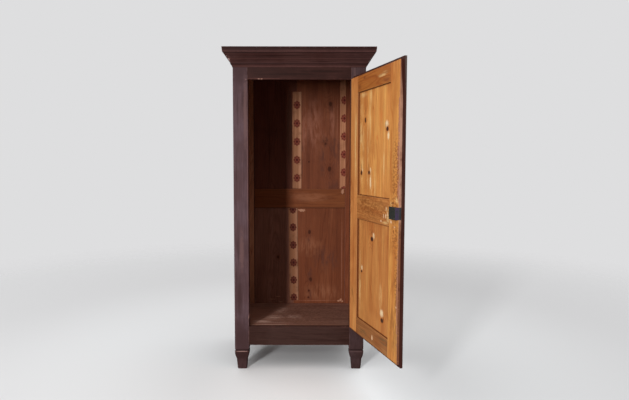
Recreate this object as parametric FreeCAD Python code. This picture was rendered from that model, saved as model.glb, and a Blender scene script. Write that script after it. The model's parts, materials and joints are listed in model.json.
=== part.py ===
import FreeCAD, Part
import math
import os

# A narrow one-door cupboard on four feet: corner posts, framed sides and back, mitred
# cornice and a rebated two-panel door that stands open on the right.
# Millimetres. +Z up, the front faces -Y, the origin is on the floor at the centre of the
# carcass's footprint.

# ---------------------------------------------------------------- driving dimensions
# Carcass
body_width = 750.0
body_depth = 560.0
total_height = 1842.0
opening_bottom = 256.0
front_top_rail_height = 147.0
rail_underside = 146.0
mid_rail_bottom = 903.0
mid_rail_height = 128.0
board_thickness = 24.0          # rails of the carcass
panel_thickness = 10.0
panel_tongue = 9.0              # how far a panel reaches into its grooves
panel_play = 1.0                # room at the bottom of a groove
tenon_length = 30.0
tenon_thickness = 8.0

front_post_width = 84.0
front_post_depth = 60.0
rear_post_width = 72.0
rear_post_depth = 54.0
post_chamfer = 8.0

# Feet, worked on the lower end of the posts
sole_inset = 15.0
neck_inset = 10.0
neck_height = 60.0
collar_height = 102.0
groove_bottom = 110.0
groove_width = 12.0
groove_depth = 4.0
foot_corner_radius = 8.0
foot_curve_steps = 4

# Inside
floor_top = 254.0
floor_board_thickness = 18.0
floor_board_count = 3
cleat_height = 20.0
cleat_width = 25.0
top_board_thickness = 18.0
top_board_count = 2
cornice_stand_up = 6.0          # the cornice rises this much above the top boards
back_top_rail_height = 58.0
upper_joint_x = -19.0           # joint between the two upper back boards
lower_joint_x = -42.0           # joint between the two lower back boards

# Paper strips pasted over the joints
paper_width = 62.0
paper_thickness = 0.4
corner_paper_width = 37.0
paper_end_gap = 1.0
upper_paper_short = 86.0        # bare board left above the upper strip
lower_paper_short = 18.0        # bare board left below the lower strip
lower_paper_lean = 7.0          # the lower strip's foot stands this much further right

# Cornice, from the bottom bead up: projection from the body and height of each step
cornice_height = 104.0
bead_height = 16.0
bead_projection = 8.5
bead_foot = 1.0
bead_sag = 1.0
cove_start = 10.5
cove_foot_height = 19.0
cove_projection = 28.0
cove_height = 49.0
cove_sag = 3.0
ovolo_start = 31.0
ovolo_projection = 46.0
ovolo_foot_height = 52.0
ovolo_height = 73.0
ovolo_sag = -1.0
fascia_foot_projection = 50.0
fascia_foot_height = 76.0
fascia_projection = 53.0

# Door, drawn shut and turned open at the end
door_rest_angle = 107.0
door_shut_gap = 0.5             # between the lip's back and the front of the carcass
door_side_gap = 2.0
door_top_gap = 2.0
door_bottom_gap = 6.0
lip_thickness = 12.5
lip_side = 9.0
lip_top = 15.0
lip_bottom = 15.0
door_inner_thickness = 16.0
door_stile_width = 94.0
door_top_rail_height = 87.0
door_bottom_rail_height = 89.0
door_panel_recess = 8.0
door_edge_chamfer = 5.0

# Hinges: barrels in front of the right post, just outside the door's lip
hinge_barrel_radius = 6.0
hinge_barrel_gap_x = 3.0        # between lip and barrel
hinge_barrel_gap_y = 2.5        # between barrel and post
hinge_half_length = 46.0
hinge_half_gap = 0.4
hinge_pin_radius = 3.0
hinge_running_gap = 0.05
hinge_leaf_thickness = 2.5
hinge_post_leaf_depth = 40.0
hinge_door_leaf_reach = 44.0
hinge_leaf_short = 4.0
hinge_end_distance = 205.0
finial_radius = 4.6
finial_neck_radius = 3.2
finial_neck_length = 3.0
nail_radius = 1.5
nail_length = 20.0
nail_spacing = 20.0
hinge_bore_end = 6.0            # wall left at the closed end of each barrel

# Lock
lock_height = 58.0
lock_width = 66.0
lock_centre_height = 971.0
lock_setback = 1.0
lock_proud = 16.0
lock_let_in = 4.0
lock_wall = 1.5
selvedge_stop = 1.0             # bare wood between the lock's bent end and the lip
bolt_height = 12.0
bolt_thickness = 6.0
bolt_length = 62.0
bolt_above_keyhole = 15.0       # bolt's underside above the keyhole's centre
bolt_travel = 12.0
bolt_clearance = 0.3
talon_gap = 28.0                # between the two lugs under the bolt
talon_lug_width = 5.0
talon_lug_drop = 5.0
stud_radius = 1.5
stud_from_end = 44.0
spring_thickness = 0.8
spring_start = 12.0             # from the lock's end
spring_length = 36.0
keyhole_backset = 30.0
keyhole_drop = 12.0             # keyhole's centre below the lock's centre
keyhole_radius = 3.2
keyhole_slot_width = 3.6
keyhole_slot_drop = 12.0        # foot of the bit's slot below the keyhole's centre
screw_head_radius = 3.2
screw_head_height = 1.2
screw_shank_radius = 1.6
screw_length = 12.0
screw_inset = 7.0
escutcheon_width = 26.0
escutcheon_height = 46.0
escutcheon_thickness = 1.5
keeper_height = 52.0
keeper_depth = 20.0
keeper_thickness = 1.5
keeper_hole_gap = 1.0
keeper_pocket = 16.0
keeper_screw_spacing = 36.0

# ---------------------------------------------------------------- derived places
half_width = body_width / 2
front = -body_depth / 2
back = body_depth / 2
opening_half = half_width - front_post_width
cornice_bottom = total_height - cornice_height
top_board_top = total_height - cornice_stand_up
frame_top = top_board_top - top_board_thickness
opening_top = frame_top - front_top_rail_height
mid_rail_top = mid_rail_bottom + mid_rail_height
side_inner = half_width - board_thickness
tenon_shoulder = panel_tongue + panel_play
front_post_back = front + front_post_depth
rear_post_front = back - rear_post_depth
rear_half = half_width - rear_post_width
groove_top = groove_bottom + groove_width
floor_underside = floor_top - floor_board_thickness
back_top_rail_bottom = frame_top - back_top_rail_height
back_rail_back = rear_post_front + board_thickness
panel_recess = (board_thickness - panel_thickness) / 2
back_panel_front = rear_post_front + panel_recess
back_panel_back = back_panel_front + panel_thickness

door_edge = opening_half - door_side_gap
door_lip_edge = door_edge + lip_side
door_bottom = opening_bottom + door_bottom_gap
door_top = opening_top - door_top_gap
door_lip_bottom = door_bottom - lip_bottom
door_lip_top = door_top + lip_top
door_front = front - door_shut_gap - lip_thickness
door_lip_back = front - door_shut_gap
door_back = door_lip_back + door_inner_thickness
stile_edge = door_edge - door_stile_width
door_top_rail_bottom = door_top - door_top_rail_height
door_bottom_rail_top = door_bottom + door_bottom_rail_height
door_panel_back = door_back - door_panel_recess
door_panel_front = door_panel_back - panel_thickness

hinge_x = door_lip_edge + hinge_barrel_gap_x + hinge_barrel_radius
hinge_y = front - hinge_barrel_gap_y - hinge_barrel_radius
hinge_heights = {"upper": door_top - hinge_end_distance, "lower": door_bottom + hinge_end_distance}

lock_end = -door_edge + lock_setback
lock_bottom = lock_centre_height - lock_height / 2
lock_top = lock_centre_height + lock_height / 2
lock_front = door_back - lock_let_in
lock_back = door_back + lock_proud
keyhole_x = lock_end + keyhole_backset
keyhole_z = lock_centre_height - keyhole_drop
bolt_bottom = keyhole_z + bolt_above_keyhole
bolt_top = bolt_bottom + bolt_height
bolt_front = (lock_front + lock_back - bolt_thickness) / 2
bolt_back = bolt_front + bolt_thickness

X = FreeCAD.Vector(1, 0, 0)
Y = FreeCAD.Vector(0, 1, 0)
Z = FreeCAD.Vector(0, 0, 1)


# ---------------------------------------------------------------- shape helpers
def box(x_range, y_range, z_range):
    low = [min(x_range), min(y_range), min(z_range)]
    high = [max(x_range), max(y_range), max(z_range)]
    size = [high[i] - low[i] for i in range(3)]
    return Part.makeBox(size[0], size[1], size[2], FreeCAD.Vector(*low))


def rod(start, direction, radius, length):
    return Part.makeCylinder(radius, length, FreeCAD.Vector(*start), direction)


def plan_prism(points, bottom, top):
    corners = [FreeCAD.Vector(x, y, bottom) for x, y in points]
    face = Part.Face(Part.makePolygon(corners + corners[:1]))
    return face.extrude(Z * (top - bottom))


def mirror_x(shape):
    return shape.mirror(FreeCAD.Vector(0, 0, 0), X)


def rounded_section(x_range, y_range, height, radius):
    """Closed wire of a level rectangle with four round corners."""
    x0, x1 = x_range
    y0, y1 = y_range
    bend = radius * (1 - math.cos(math.pi / 4))
    arcs = [
        ((x0, y0 + radius), (x0 + bend, y0 + bend), (x0 + radius, y0)),
        ((x1 - radius, y0), (x1 - bend, y0 + bend), (x1, y0 + radius)),
        ((x1, y1 - radius), (x1 - bend, y1 - bend), (x1 - radius, y1)),
        ((x0 + radius, y1), (x0 + bend, y1 - bend), (x0, y1 - radius)),
    ]
    edges = []
    for index, (start, middle, end) in enumerate(arcs):
        points = [FreeCAD.Vector(x, y, height) for x, y in (start, middle, end)]
        edges.append(Part.Arc(*points).toShape())
        following = arcs[(index + 1) % len(arcs)][0]
        edges.append(Part.makeLine(points[2], FreeCAD.Vector(following[0], following[1], height)))
    return Part.Wire(edges)


def sagged_arc(start, end, sag):
    """Arc in the (projection, height) plane; a positive sag bows it inwards."""
    middle = [(start[i] + end[i]) / 2 for i in range(2)]
    chord = [end[i] - start[i] for i in range(2)]
    length = math.hypot(*chord)
    inward = [-chord[1] / length, chord[0] / length]
    through = [middle[i] + inward[i] * sag for i in range(2)]
    return start, through, end


def carve(piece, tools):
    """Cut from the piece every tool that reaches it."""
    for tool in tools:
        if piece.BoundBox.intersect(tool.BoundBox):
            piece = piece.cut(tool)
    return piece


def middle_band(across):
    """The tenon's share of a board's thickness."""
    centre = sum(across) / 2
    return centre - tenon_thickness / 2, centre + tenon_thickness / 2


def rail_along_x(x_range, y_range, z_range):
    body = box(x_range, y_range, z_range)
    reach = (x_range[0] - tenon_length, x_range[1] + tenon_length)
    height = (z_range[0] + tenon_shoulder, z_range[1] - tenon_shoulder)
    return body.fuse(box(reach, middle_band(y_range), height))


def rail_along_y(x_range, y_range, z_range):
    body = box(x_range, y_range, z_range)
    reach = (y_range[0] - tenon_length, y_range[1] + tenon_length)
    height = (z_range[0] + tenon_shoulder, z_range[1] - tenon_shoulder)
    return body.fuse(box(middle_band(x_range), reach, height))


def widened(limits, extra):
    return limits[0] - extra, limits[1] + extra


def split_range(limits, count):
    step = (limits[1] - limits[0]) / count
    return [(limits[0] + step * i, limits[0] + step * (i + 1)) for i in range(count)]


# ---------------------------------------------------------------- carcass
def foot_profile():
    """Height and inset of each section of a foot, from the sole to the top of the groove."""
    profile = [(0.0, sole_inset), (neck_height, neck_inset)]
    for step in range(1, foot_curve_steps + 1):
        share = step / foot_curve_steps
        height = neck_height + (collar_height - neck_height) * share
        profile.append((height, neck_inset * (1 - math.sin(math.pi / 2 * share))))
    profile.append((groove_bottom, 0.0))
    profile.append(((groove_bottom + groove_top) / 2, groove_depth))
    profile.append((groove_top, 0.0))
    return profile


def post_with_foot(x_range, y_range, plain_back):
    sections = []
    for height, inset in foot_profile():
        section_back = y_range[1] if plain_back else y_range[1] - inset
        sections.append(rounded_section((x_range[0] + inset, x_range[1] - inset),
                                        (y_range[0] + inset, section_back), height,
                                        foot_corner_radius))
    foot = Part.makeLoft(sections, True, True)
    return foot.fuse(box(x_range, y_range, (groove_top, frame_top)))


def front_post():
    """Right front post: its outer front arris is taken off up to the cornice."""
    post = post_with_foot((opening_half, half_width), (front, front_post_back), False)
    arris = [(half_width, front), (half_width - post_chamfer, front),
             (half_width, front + post_chamfer)]
    return post.cut(plan_prism(arris, groove_top, cornice_bottom))


def rear_post():
    return post_with_foot((rear_half, half_width), (rear_post_front, back), True)


def front_rails():
    across = (front, front + board_thickness)
    span = (-opening_half, opening_half)
    return {
        "front_top_rail": rail_along_x(span, across, (opening_top, frame_top)),
        "front_bottom_rail": rail_along_x(span, across, (rail_underside, opening_bottom)),
    }


def side_rails():
    """Rails of the right side, between the front and the rear post."""
    across = (side_inner, half_width)
    span = (front_post_back, rear_post_front)
    heights = {
        "side_top_rail": (opening_top, frame_top),
        "side_mid_rail": (mid_rail_bottom, mid_rail_top),
        "side_bottom_rail": (rail_underside, opening_bottom),
    }
    return {name: rail_along_y(across, span, height) for name, height in heights.items()}


def side_panels():
    """Panels of the right side with the grooves that hold them."""
    across = (side_inner + panel_recess, side_inner + panel_recess + panel_thickness)
    span = (front_post_back, rear_post_front)
    fields = {
        "side_panel_upper": (mid_rail_top, opening_top),
        "side_panel_lower": (opening_bottom, mid_rail_bottom),
    }
    panels = {}
    grooves = []
    for name, height in fields.items():
        reach = panel_tongue + panel_play
        panels[name] = box(across, widened(span, panel_tongue), widened(height, panel_tongue))
        grooves.append(box(across, widened(span, reach), widened(height, reach)))
    return panels, grooves


def back_rails():
    across = (rear_post_front, back_rail_back)
    span = (-rear_half, rear_half)
    return {
        "back_top_rail": rail_along_x(span, across, (back_top_rail_bottom, frame_top)),
        "back_mid_rail": rail_along_x(span, across, (mid_rail_bottom, mid_rail_top)),
        "back_bottom_rail": rail_along_x(span, across, (rail_underside, floor_top)),
    }


def back_boards():
    """Boards that fill the back frame, two side by side in each field, and their grooves."""
    across = (back_panel_front, back_panel_back)
    span = (-rear_half, rear_half)
    fields = {
        "upper": ((mid_rail_top, back_top_rail_bottom), upper_joint_x),
        "lower": ((floor_top, mid_rail_bottom), lower_joint_x),
    }
    boards = {}
    grooves = []
    for name, (height, joint_x) in fields.items():
        reach = panel_tongue + panel_play
        low_x, high_x = widened(span, panel_tongue)
        rise = widened(height, panel_tongue)
        boards[f"back_board_{name}_left"] = box((low_x, joint_x), across, rise)
        boards[f"back_board_{name}_right"] = box((joint_x, high_x), across, rise)
        grooves.append(box(widened(span, reach), across, widened(height, reach)))
    return boards, grooves


def leaning_strip(centre_x, lean, z_range):
    """Strip of paper on the boards; its foot stands to the right of its top by the lean."""
    low, high = z_range
    half = paper_width / 2
    corners = [(centre_x + lean / 2 - half, low), (centre_x + lean / 2 + half, low),
               (centre_x - lean / 2 + half, high), (centre_x - lean / 2 - half, high)]
    points = [FreeCAD.Vector(x, back_panel_front, z) for x, z in corners]
    return Part.Face(Part.makePolygon(points + points[:1])).extrude(Y * -paper_thickness)


def paper_strips():
    on_board = (back_panel_front - paper_thickness, back_panel_front)
    corner = (mid_rail_top + paper_end_gap, back_top_rail_bottom - paper_end_gap)
    upper = (mid_rail_top + paper_end_gap, back_top_rail_bottom - upper_paper_short)
    lower = (floor_top + lower_paper_short, mid_rail_bottom - paper_end_gap)
    flat = box((rear_half - corner_paper_width, rear_half), on_board, corner)
    turned = box((rear_half - paper_thickness, rear_half),
                 (rear_post_front, back_panel_front), corner)
    return {
        "paper_strip_upper": leaning_strip(upper_joint_x, 0.0, upper),
        "paper_strip_lower": leaning_strip(lower_joint_x, lower_paper_lean, lower),
        "paper_strip_corner": flat.fuse(turned),
    }


def floor_parts():
    parts = {}
    depth = (front + board_thickness, rear_post_front)
    for index, strip in enumerate(split_range(depth, floor_board_count)):
        board = box((-side_inner, side_inner), strip, (floor_underside, floor_top))
        parts[f"floor_board_{index + 1}"] = board
    cleat = box((side_inner - cleat_width, side_inner), (front_post_back, rear_post_front),
                (floor_underside - cleat_height, floor_underside))
    parts["floor_cleat_right"] = cleat
    parts["floor_cleat_left"] = mirror_x(cleat)
    return parts


def top_boards():
    parts = {}
    for index, strip in enumerate(split_range((front, back), top_board_count)):
        board = box((-half_width, half_width), strip, (frame_top, top_board_top))
        parts[f"top_board_{index + 1}"] = board
    return parts


# ---------------------------------------------------------------- cornice
def cornice_face(place):
    """Face of the cornice's profile; place turns (projection, height) into a point."""
    bead = sagged_arc((bead_foot, 0.0), (bead_projection, bead_height), bead_sag)
    cove = sagged_arc((cove_start, cove_foot_height), (cove_projection, cove_height), cove_sag)
    ovolo = sagged_arc((ovolo_start, ovolo_foot_height), (ovolo_projection, ovolo_height),
                       ovolo_sag)
    stations = [
        [(0.0, 0.0), (bead_foot, 0.0)],
        bead,
        [(bead_projection, bead_height), (cove_start, bead_height), (cove_start, cove_foot_height)],
        cove,
        [(cove_projection, cove_height), (ovolo_start, cove_height),
         (ovolo_start, ovolo_foot_height)],
        ovolo,
        [(ovolo_projection, ovolo_height), (ovolo_projection, fascia_foot_height),
         (fascia_foot_projection, fascia_foot_height), (fascia_projection, cornice_height),
         (0.0, cornice_height), (0.0, 0.0)],
    ]
    edges = []
    for station in stations:
        points = [place(projection, cornice_bottom + height) for projection, height in station]
        if isinstance(station, tuple):
            edges.append(Part.Arc(*points).toShape())
        else:
            for start, end in zip(points, points[1:]):
                edges.append(Part.makeLine(start, end))
    return Part.Face(Part.Wire(edges))


def cornice_parts():
    reach = fascia_projection
    corner_x = half_width + reach
    corner_y = front - reach
    front_face = cornice_face(lambda p, z: FreeCAD.Vector(-corner_x, front - p, z))
    front_plan = [(-half_width, front), (half_width, front), (corner_x, corner_y),
                  (-corner_x, corner_y)]
    side_face = cornice_face(lambda p, z: FreeCAD.Vector(half_width + p, corner_y, z))
    side_plan = [(half_width, front), (corner_x, corner_y), (corner_x, back),
                 (half_width, back)]
    front_blank = front_face.extrude(X * (2 * corner_x))
    side_blank = side_face.extrude(Y * (back - corner_y))
    front_piece = front_blank.common(plan_prism(front_plan, cornice_bottom, total_height))
    side_piece = side_blank.common(plan_prism(side_plan, cornice_bottom, total_height))
    return {
        "cornice_front": front_piece,
        "cornice_right": side_piece,
        "cornice_left": mirror_x(side_piece),
    }


# ---------------------------------------------------------------- door, drawn shut
def door_slab(x_range, lip_x_range, z_range, lip_z_range):
    """Frame piece of the door: inner part that enters the opening, lip in front of it."""
    inner = box(x_range, (door_lip_back, door_back), z_range)
    outer = box(lip_x_range, (door_front, door_lip_back), lip_z_range)
    return inner.fuse(outer)


def door_tenons(z_range):
    reach = (-stile_edge - tenon_length, stile_edge + tenon_length)
    height = (z_range[0] + tenon_shoulder, z_range[1] - tenon_shoulder)
    return box(reach, middle_band((door_front, door_back)), height)


def door_panel_fields():
    return {
        "door_panel_upper": (mid_rail_top, door_top_rail_bottom),
        "door_panel_lower": (door_bottom_rail_top, mid_rail_bottom),
    }


def door_edge_chamfers():
    """Wedges that take the arris off round each panel, on the outside."""
    wedges = []
    for low, high in door_panel_fields().values():
        wires = []
        for y, grow in ((door_front, door_edge_chamfer), (door_front + door_edge_chamfer, 0.0)):
            x0, x1 = widened((-stile_edge, stile_edge), grow)
            z0, z1 = widened((low, high), grow)
            corners = [FreeCAD.Vector(x, y, z) for x, z in ((x0, z0), (x1, z0), (x1, z1), (x0, z1))]
            wires.append(Part.makePolygon(corners + corners[:1]))
        wedges.append(Part.makeLoft(wires, True, True))
    return wedges


def door_frame():
    span = (-stile_edge, stile_edge)
    stile = door_slab((stile_edge, door_edge), (stile_edge, door_lip_edge),
                      (door_bottom, door_top), (door_lip_bottom, door_lip_top))
    rails = {
        "door_top_rail": ((door_top_rail_bottom, door_top), (door_top_rail_bottom, door_lip_top)),
        "door_mid_rail": ((mid_rail_bottom, mid_rail_top), (mid_rail_bottom, mid_rail_top)),
        "door_bottom_rail": ((door_bottom, door_bottom_rail_top),
                             (door_lip_bottom, door_bottom_rail_top)),
    }
    pieces = {"door_hinge_stile": stile, "door_lock_stile": mirror_x(stile)}
    tenons = []
    for name, (height, lip_height) in rails.items():
        tenon = door_tenons(height)
        tenons.append(tenon)
        pieces[name] = door_slab(span, span, height, lip_height).fuse(tenon)
    for name in ("door_hinge_stile", "door_lock_stile"):
        pieces[name] = carve(pieces[name], tenons)
    return pieces


def door_panels():
    span = (-stile_edge, stile_edge)
    across = (door_panel_front, door_panel_back)
    panels = {}
    grooves = []
    for name, height in door_panel_fields().items():
        reach = panel_tongue + panel_play
        panels[name] = box(widened(span, panel_tongue), across, widened(height, panel_tongue))
        grooves.append(box(widened(span, reach), across, widened(height, reach)))
    return panels, grooves


# ---------------------------------------------------------------- hinges
def finial(end_z, direction):
    """Small ball on a neck at the end of a barrel."""
    centre_z = end_z + direction * (finial_neck_length + finial_radius)
    neck_z = end_z if direction > 0 else centre_z
    neck = rod((hinge_x, hinge_y, neck_z), Z, finial_neck_radius, abs(centre_z - end_z))
    ball = Part.makeSphere(finial_radius, FreeCAD.Vector(hinge_x, hinge_y, centre_z))
    return neck.fuse(ball)


def hinge_post_leaf(centre_z):
    low = centre_z - hinge_half_length
    barrel = rod((hinge_x, hinge_y, low), Z, hinge_barrel_radius,
                 hinge_half_length - hinge_half_gap / 2)
    leaf = box(widened((hinge_x, hinge_x), hinge_leaf_thickness / 2),
               (hinge_y, front + hinge_post_leaf_depth), (low, centre_z - hinge_leaf_short))
    bore = rod((hinge_x, hinge_y, low + hinge_bore_end), Z, hinge_pin_radius, hinge_half_length)
    return barrel.fuse(leaf).fuse(finial(low, -1)).cut(bore)


def hinge_door_leaf(centre_z):
    high = centre_z + hinge_half_length
    start = centre_z + hinge_half_gap / 2
    barrel = rod((hinge_x, hinge_y, start), Z, hinge_barrel_radius, high - start)
    leaf_y = door_front + lip_thickness / 2
    leaf = box((door_lip_edge - hinge_door_leaf_reach, hinge_x),
               widened((leaf_y, leaf_y), hinge_leaf_thickness / 2),
               (centre_z + hinge_leaf_short, high))
    bore = rod((hinge_x, hinge_y, start), Z, hinge_pin_radius + hinge_running_gap,
               high - hinge_bore_end - start)
    return barrel.fuse(leaf).fuse(finial(high, 1)).cut(bore)


def hinge_pin(centre_z):
    low = centre_z - hinge_half_length + hinge_bore_end
    high = centre_z + hinge_half_length - hinge_bore_end - hinge_half_gap
    return rod((hinge_x, hinge_y, low), Z, hinge_pin_radius, high - low)


def hinge_nails():
    """Nails through the leaves: sideways into the post, straight through the door's stile."""
    post_nails = []
    door_nails = []
    for centre_z in hinge_heights.values():
        leaf_middle = (hinge_half_length + hinge_leaf_short) / 2
        for step in (-nail_spacing / 2, nail_spacing / 2):
            post_nails.append(rod((opening_half, front + hinge_post_leaf_depth / 2,
                                   centre_z - leaf_middle + step), X, nail_radius, nail_length))
            door_nails.append(rod((door_lip_edge - hinge_door_leaf_reach / 2, door_front,
                                   centre_z + leaf_middle + step), Y, nail_radius, nail_length))
    return post_nails, door_nails


# ---------------------------------------------------------------- lock, drawn with the door shut
def keyhole(y_range):
    """Round hole for a key's shank with the bit's slot under it."""
    hole = rod((keyhole_x, y_range[0], keyhole_z), Y, keyhole_radius, y_range[1] - y_range[0])
    slot = box(widened((keyhole_x, keyhole_x), keyhole_slot_width / 2), y_range,
               (keyhole_z - keyhole_slot_drop, keyhole_z))
    return hole.fuse(slot)


def bolt_section(gap):
    return (bolt_front - gap, bolt_back + gap), (bolt_bottom - gap, bolt_top + gap)


def lock_screw_places():
    xs = (lock_end + screw_inset, lock_end + lock_width - screw_inset)
    zs = (lock_bottom + screw_inset, lock_top - screw_inset)
    return [(x, z) for x in xs for z in zs]


def lock_screws():
    screws = []
    depth = lock_back - lock_front + screw_length
    for x, z in lock_screw_places():
        shank = rod((x, lock_back - depth, z), Y, screw_shank_radius, depth)
        head = rod((x, lock_back, z), Y, screw_head_radius, screw_head_height)
        screws.append(shank.fuse(head))
    return screws


def lock_case():
    x_range = (lock_end, lock_end + lock_width)
    y_range = (lock_front + lock_wall, lock_back)
    z_range = (lock_bottom, lock_top)
    shell = box(x_range, y_range, z_range)
    room = box(widened(x_range, -lock_wall), (y_range[0], lock_back - lock_wall),
               widened(z_range, -lock_wall))
    mouth_y, mouth_z = bolt_section(bolt_clearance)
    mouth = box((lock_end, lock_end + lock_wall), mouth_y, mouth_z)
    stud = rod((lock_end + stud_from_end, y_range[0], (bolt_bottom + bolt_top) / 2), Y,
               stud_radius, lock_back - lock_wall - y_range[0])
    return shell.cut(room).cut(mouth).fuse(stud)


def lock_selvedge():
    """Bent end of the lock's plate, let into the door's edge."""
    return box((-door_edge, -door_edge + lock_wall),
               (door_lip_back + selvedge_stop, lock_front + lock_wall), (lock_bottom, lock_top))


def lock_plate():
    plate = box((-door_edge, lock_end + lock_width), (lock_front, lock_front + lock_wall),
                (lock_bottom, lock_top))
    plate = plate.fuse(lock_selvedge()).removeSplitter()
    return plate.cut(keyhole((lock_front, lock_front + lock_wall)))


def lock_bolt():
    y_range, z_range = bolt_section(0.0)
    bar = box((lock_end, lock_end + bolt_length), y_range, z_range)
    stud_x = lock_end + stud_from_end
    slot_half = stud_radius + bolt_clearance
    middle_z = (bolt_bottom + bolt_top) / 2
    slot = box((stud_x - slot_half, stud_x + bolt_travel + slot_half), y_range,
               widened((middle_z, middle_z), slot_half))
    talon_centre = keyhole_x + bolt_travel / 2
    bar = bar.cut(slot)
    for side in (-1, 1):
        inner = talon_centre + side * talon_gap / 2
        lug = box((inner, inner + side * talon_lug_width), y_range,
                  (bolt_bottom - talon_lug_drop, bolt_bottom))
        bar = bar.fuse(lug)
    return bar


def lock_spring():
    """Bowed leaf between the top of the case and the bolt."""
    ceiling = lock_top - lock_wall
    start_x = lock_end + spring_start
    end_x = start_x + spring_length
    middle_x = (start_x + end_x) / 2
    lowest = bolt_top + bolt_clearance
    upper = Part.Arc(FreeCAD.Vector(start_x, bolt_front, ceiling),
                     FreeCAD.Vector(middle_x, bolt_front, lowest + spring_thickness),
                     FreeCAD.Vector(end_x, bolt_front, ceiling)).toShape()
    lower = Part.Arc(FreeCAD.Vector(end_x, bolt_front, ceiling - spring_thickness),
                     FreeCAD.Vector(middle_x, bolt_front, lowest),
                     FreeCAD.Vector(start_x, bolt_front, ceiling - spring_thickness)).toShape()
    ends = [Part.makeLine(FreeCAD.Vector(x, bolt_front, ceiling),
                          FreeCAD.Vector(x, bolt_front, ceiling - spring_thickness))
            for x in (start_x, end_x)]
    face = Part.Face(Part.Wire(Part.__sortEdges__([upper, lower] + ends)))
    return face.extrude(Y * bolt_thickness)


def escutcheon():
    y_range = (door_front - escutcheon_thickness, door_front)
    radius = escutcheon_width / 2
    reach = escutcheon_height / 2 - radius
    centre_z = keyhole_z - keyhole_slot_drop / 2
    plate = box(widened((keyhole_x, keyhole_x), radius), y_range, widened((centre_z, centre_z), reach))
    for end_z in (centre_z - reach, centre_z + reach):
        plate = plate.fuse(rod((keyhole_x, y_range[0], end_z), Y, radius, escutcheon_thickness))
    return plate.removeSplitter().cut(keyhole(y_range))


def keeper_parts():
    """Plate let into the left post, its screws, and the pocket behind it for the bolt."""
    face_x = -opening_half
    middle_y = (bolt_front + bolt_back) / 2
    middle_z = (bolt_bottom + bolt_top) / 2
    hole_y, hole_z = bolt_section(keeper_hole_gap)
    plate = box((face_x - keeper_thickness, face_x),
                widened((middle_y, middle_y), keeper_depth / 2),
                widened((middle_z, middle_z), keeper_height / 2))
    pocket = box((face_x - keeper_pocket, face_x), hole_y, hole_z)
    screws = []
    for step in (-keeper_screw_spacing / 2, keeper_screw_spacing / 2):
        end = (face_x - screw_length, middle_y, middle_z + step)
        screws.append(rod(end, X, screw_shank_radius, screw_length))
    return plate.cut(pocket), screws, pocket


# ---------------------------------------------------------------- assembly
def build_carcass():
    right_rails = side_rails()
    right_panels, right_grooves = side_panels()
    boards, back_grooves = back_boards()
    keeper, keeper_screws, keeper_room = keeper_parts()
    post_nails, _ = hinge_nails()
    leaves = {f"hinge_{name}_post_leaf": hinge_post_leaf(z) for name, z in hinge_heights.items()}

    rails = {**front_rails(), **back_rails()}
    panels = dict(boards)
    grooves = back_grooves + right_grooves + [mirror_x(groove) for groove in right_grooves]
    for name, rail in right_rails.items():
        rails[f"{name}_right"] = rail
        rails[f"{name}_left"] = mirror_x(rail)
    for name, panel in right_panels.items():
        panels[f"{name}_right"] = panel
        panels[f"{name}_left"] = mirror_x(panel)

    posts = {
        "front_post_right": front_post(),
        "front_post_left": mirror_x(front_post()),
        "rear_post_right": rear_post(),
        "rear_post_left": mirror_x(rear_post()),
    }
    fittings = list(leaves.values()) + post_nails + [keeper, keeper_room] + keeper_screws
    parts = {}
    for name, post in posts.items():
        parts[name] = carve(post, list(rails.values()) + grooves + fittings)
    for name, rail in rails.items():
        parts[name] = carve(rail, grooves)
    parts.update(panels)
    parts.update(paper_strips())
    for name, piece in floor_parts().items():
        parts[name] = carve(piece, posts.values())
    parts.update(top_boards())
    parts.update(cornice_parts())
    for name, leaf in leaves.items():
        parts[name] = carve(leaf, post_nails)
    for name, z in hinge_heights.items():
        parts[f"hinge_{name}_pin"] = hinge_pin(z)
    parts["hinge_post_nails"] = Part.Compound(post_nails)
    parts["keeper"] = carve(keeper, keeper_screws)
    parts["keeper_screws"] = Part.Compound(keeper_screws)
    return parts


def build_door():
    """Door and lock, drawn shut and then turned open about the hinge axis."""
    frame = door_frame()
    panels, grooves = door_panels()
    _, door_nails = hinge_nails()
    screws = lock_screws()
    leaves = {f"hinge_{name}_door_leaf": hinge_door_leaf(z) for name, z in hinge_heights.items()}
    lock_room = box((-door_edge, lock_end + lock_width), (lock_front, door_back),
                    (lock_bottom, lock_top))
    key_way = keyhole((door_front, lock_front))
    tools = grooves + door_edge_chamfers() + list(leaves.values()) + door_nails
    tools += [lock_room, lock_selvedge(), key_way] + screws

    parts = {name: carve(piece, tools) for name, piece in frame.items()}
    parts.update(panels)
    for name, leaf in leaves.items():
        parts[name] = carve(leaf, door_nails)
    parts["hinge_door_nails"] = Part.Compound(door_nails)
    parts["lock_case"] = carve(lock_case(), screws)
    parts["lock_plate"] = carve(lock_plate(), screws)
    parts["lock_bolt"] = lock_bolt()
    parts["lock_spring"] = lock_spring()
    parts["lock_screws"] = Part.Compound(screws)
    parts["escutcheon"] = escutcheon()
    for piece in parts.values():
        piece.rotate(FreeCAD.Vector(hinge_x, hinge_y, 0), Z, door_rest_angle)
    return parts


def main():
    os.makedirs("parts", exist_ok=True)
    for build in (build_carcass, build_door):
        for name, piece in build().items():
            piece.exportStep(f"parts/{name}.step")


main()
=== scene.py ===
"""Looks of a tall narrow cupboard: worked wood, paint, papers and ironwork, with its studio.

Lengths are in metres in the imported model's frame: +Z up, the front faces -Y. Sizes that a maker
reads off a rule are written in millimetres and pass through mm().
"""
import json
import logging
import math
import random
from dataclasses import dataclass, replace
from enum import Enum

import bmesh
import bpy
from mathutils import Euler, Matrix, Vector, noise
from mathutils.bvhtree import BVHTree


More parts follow.
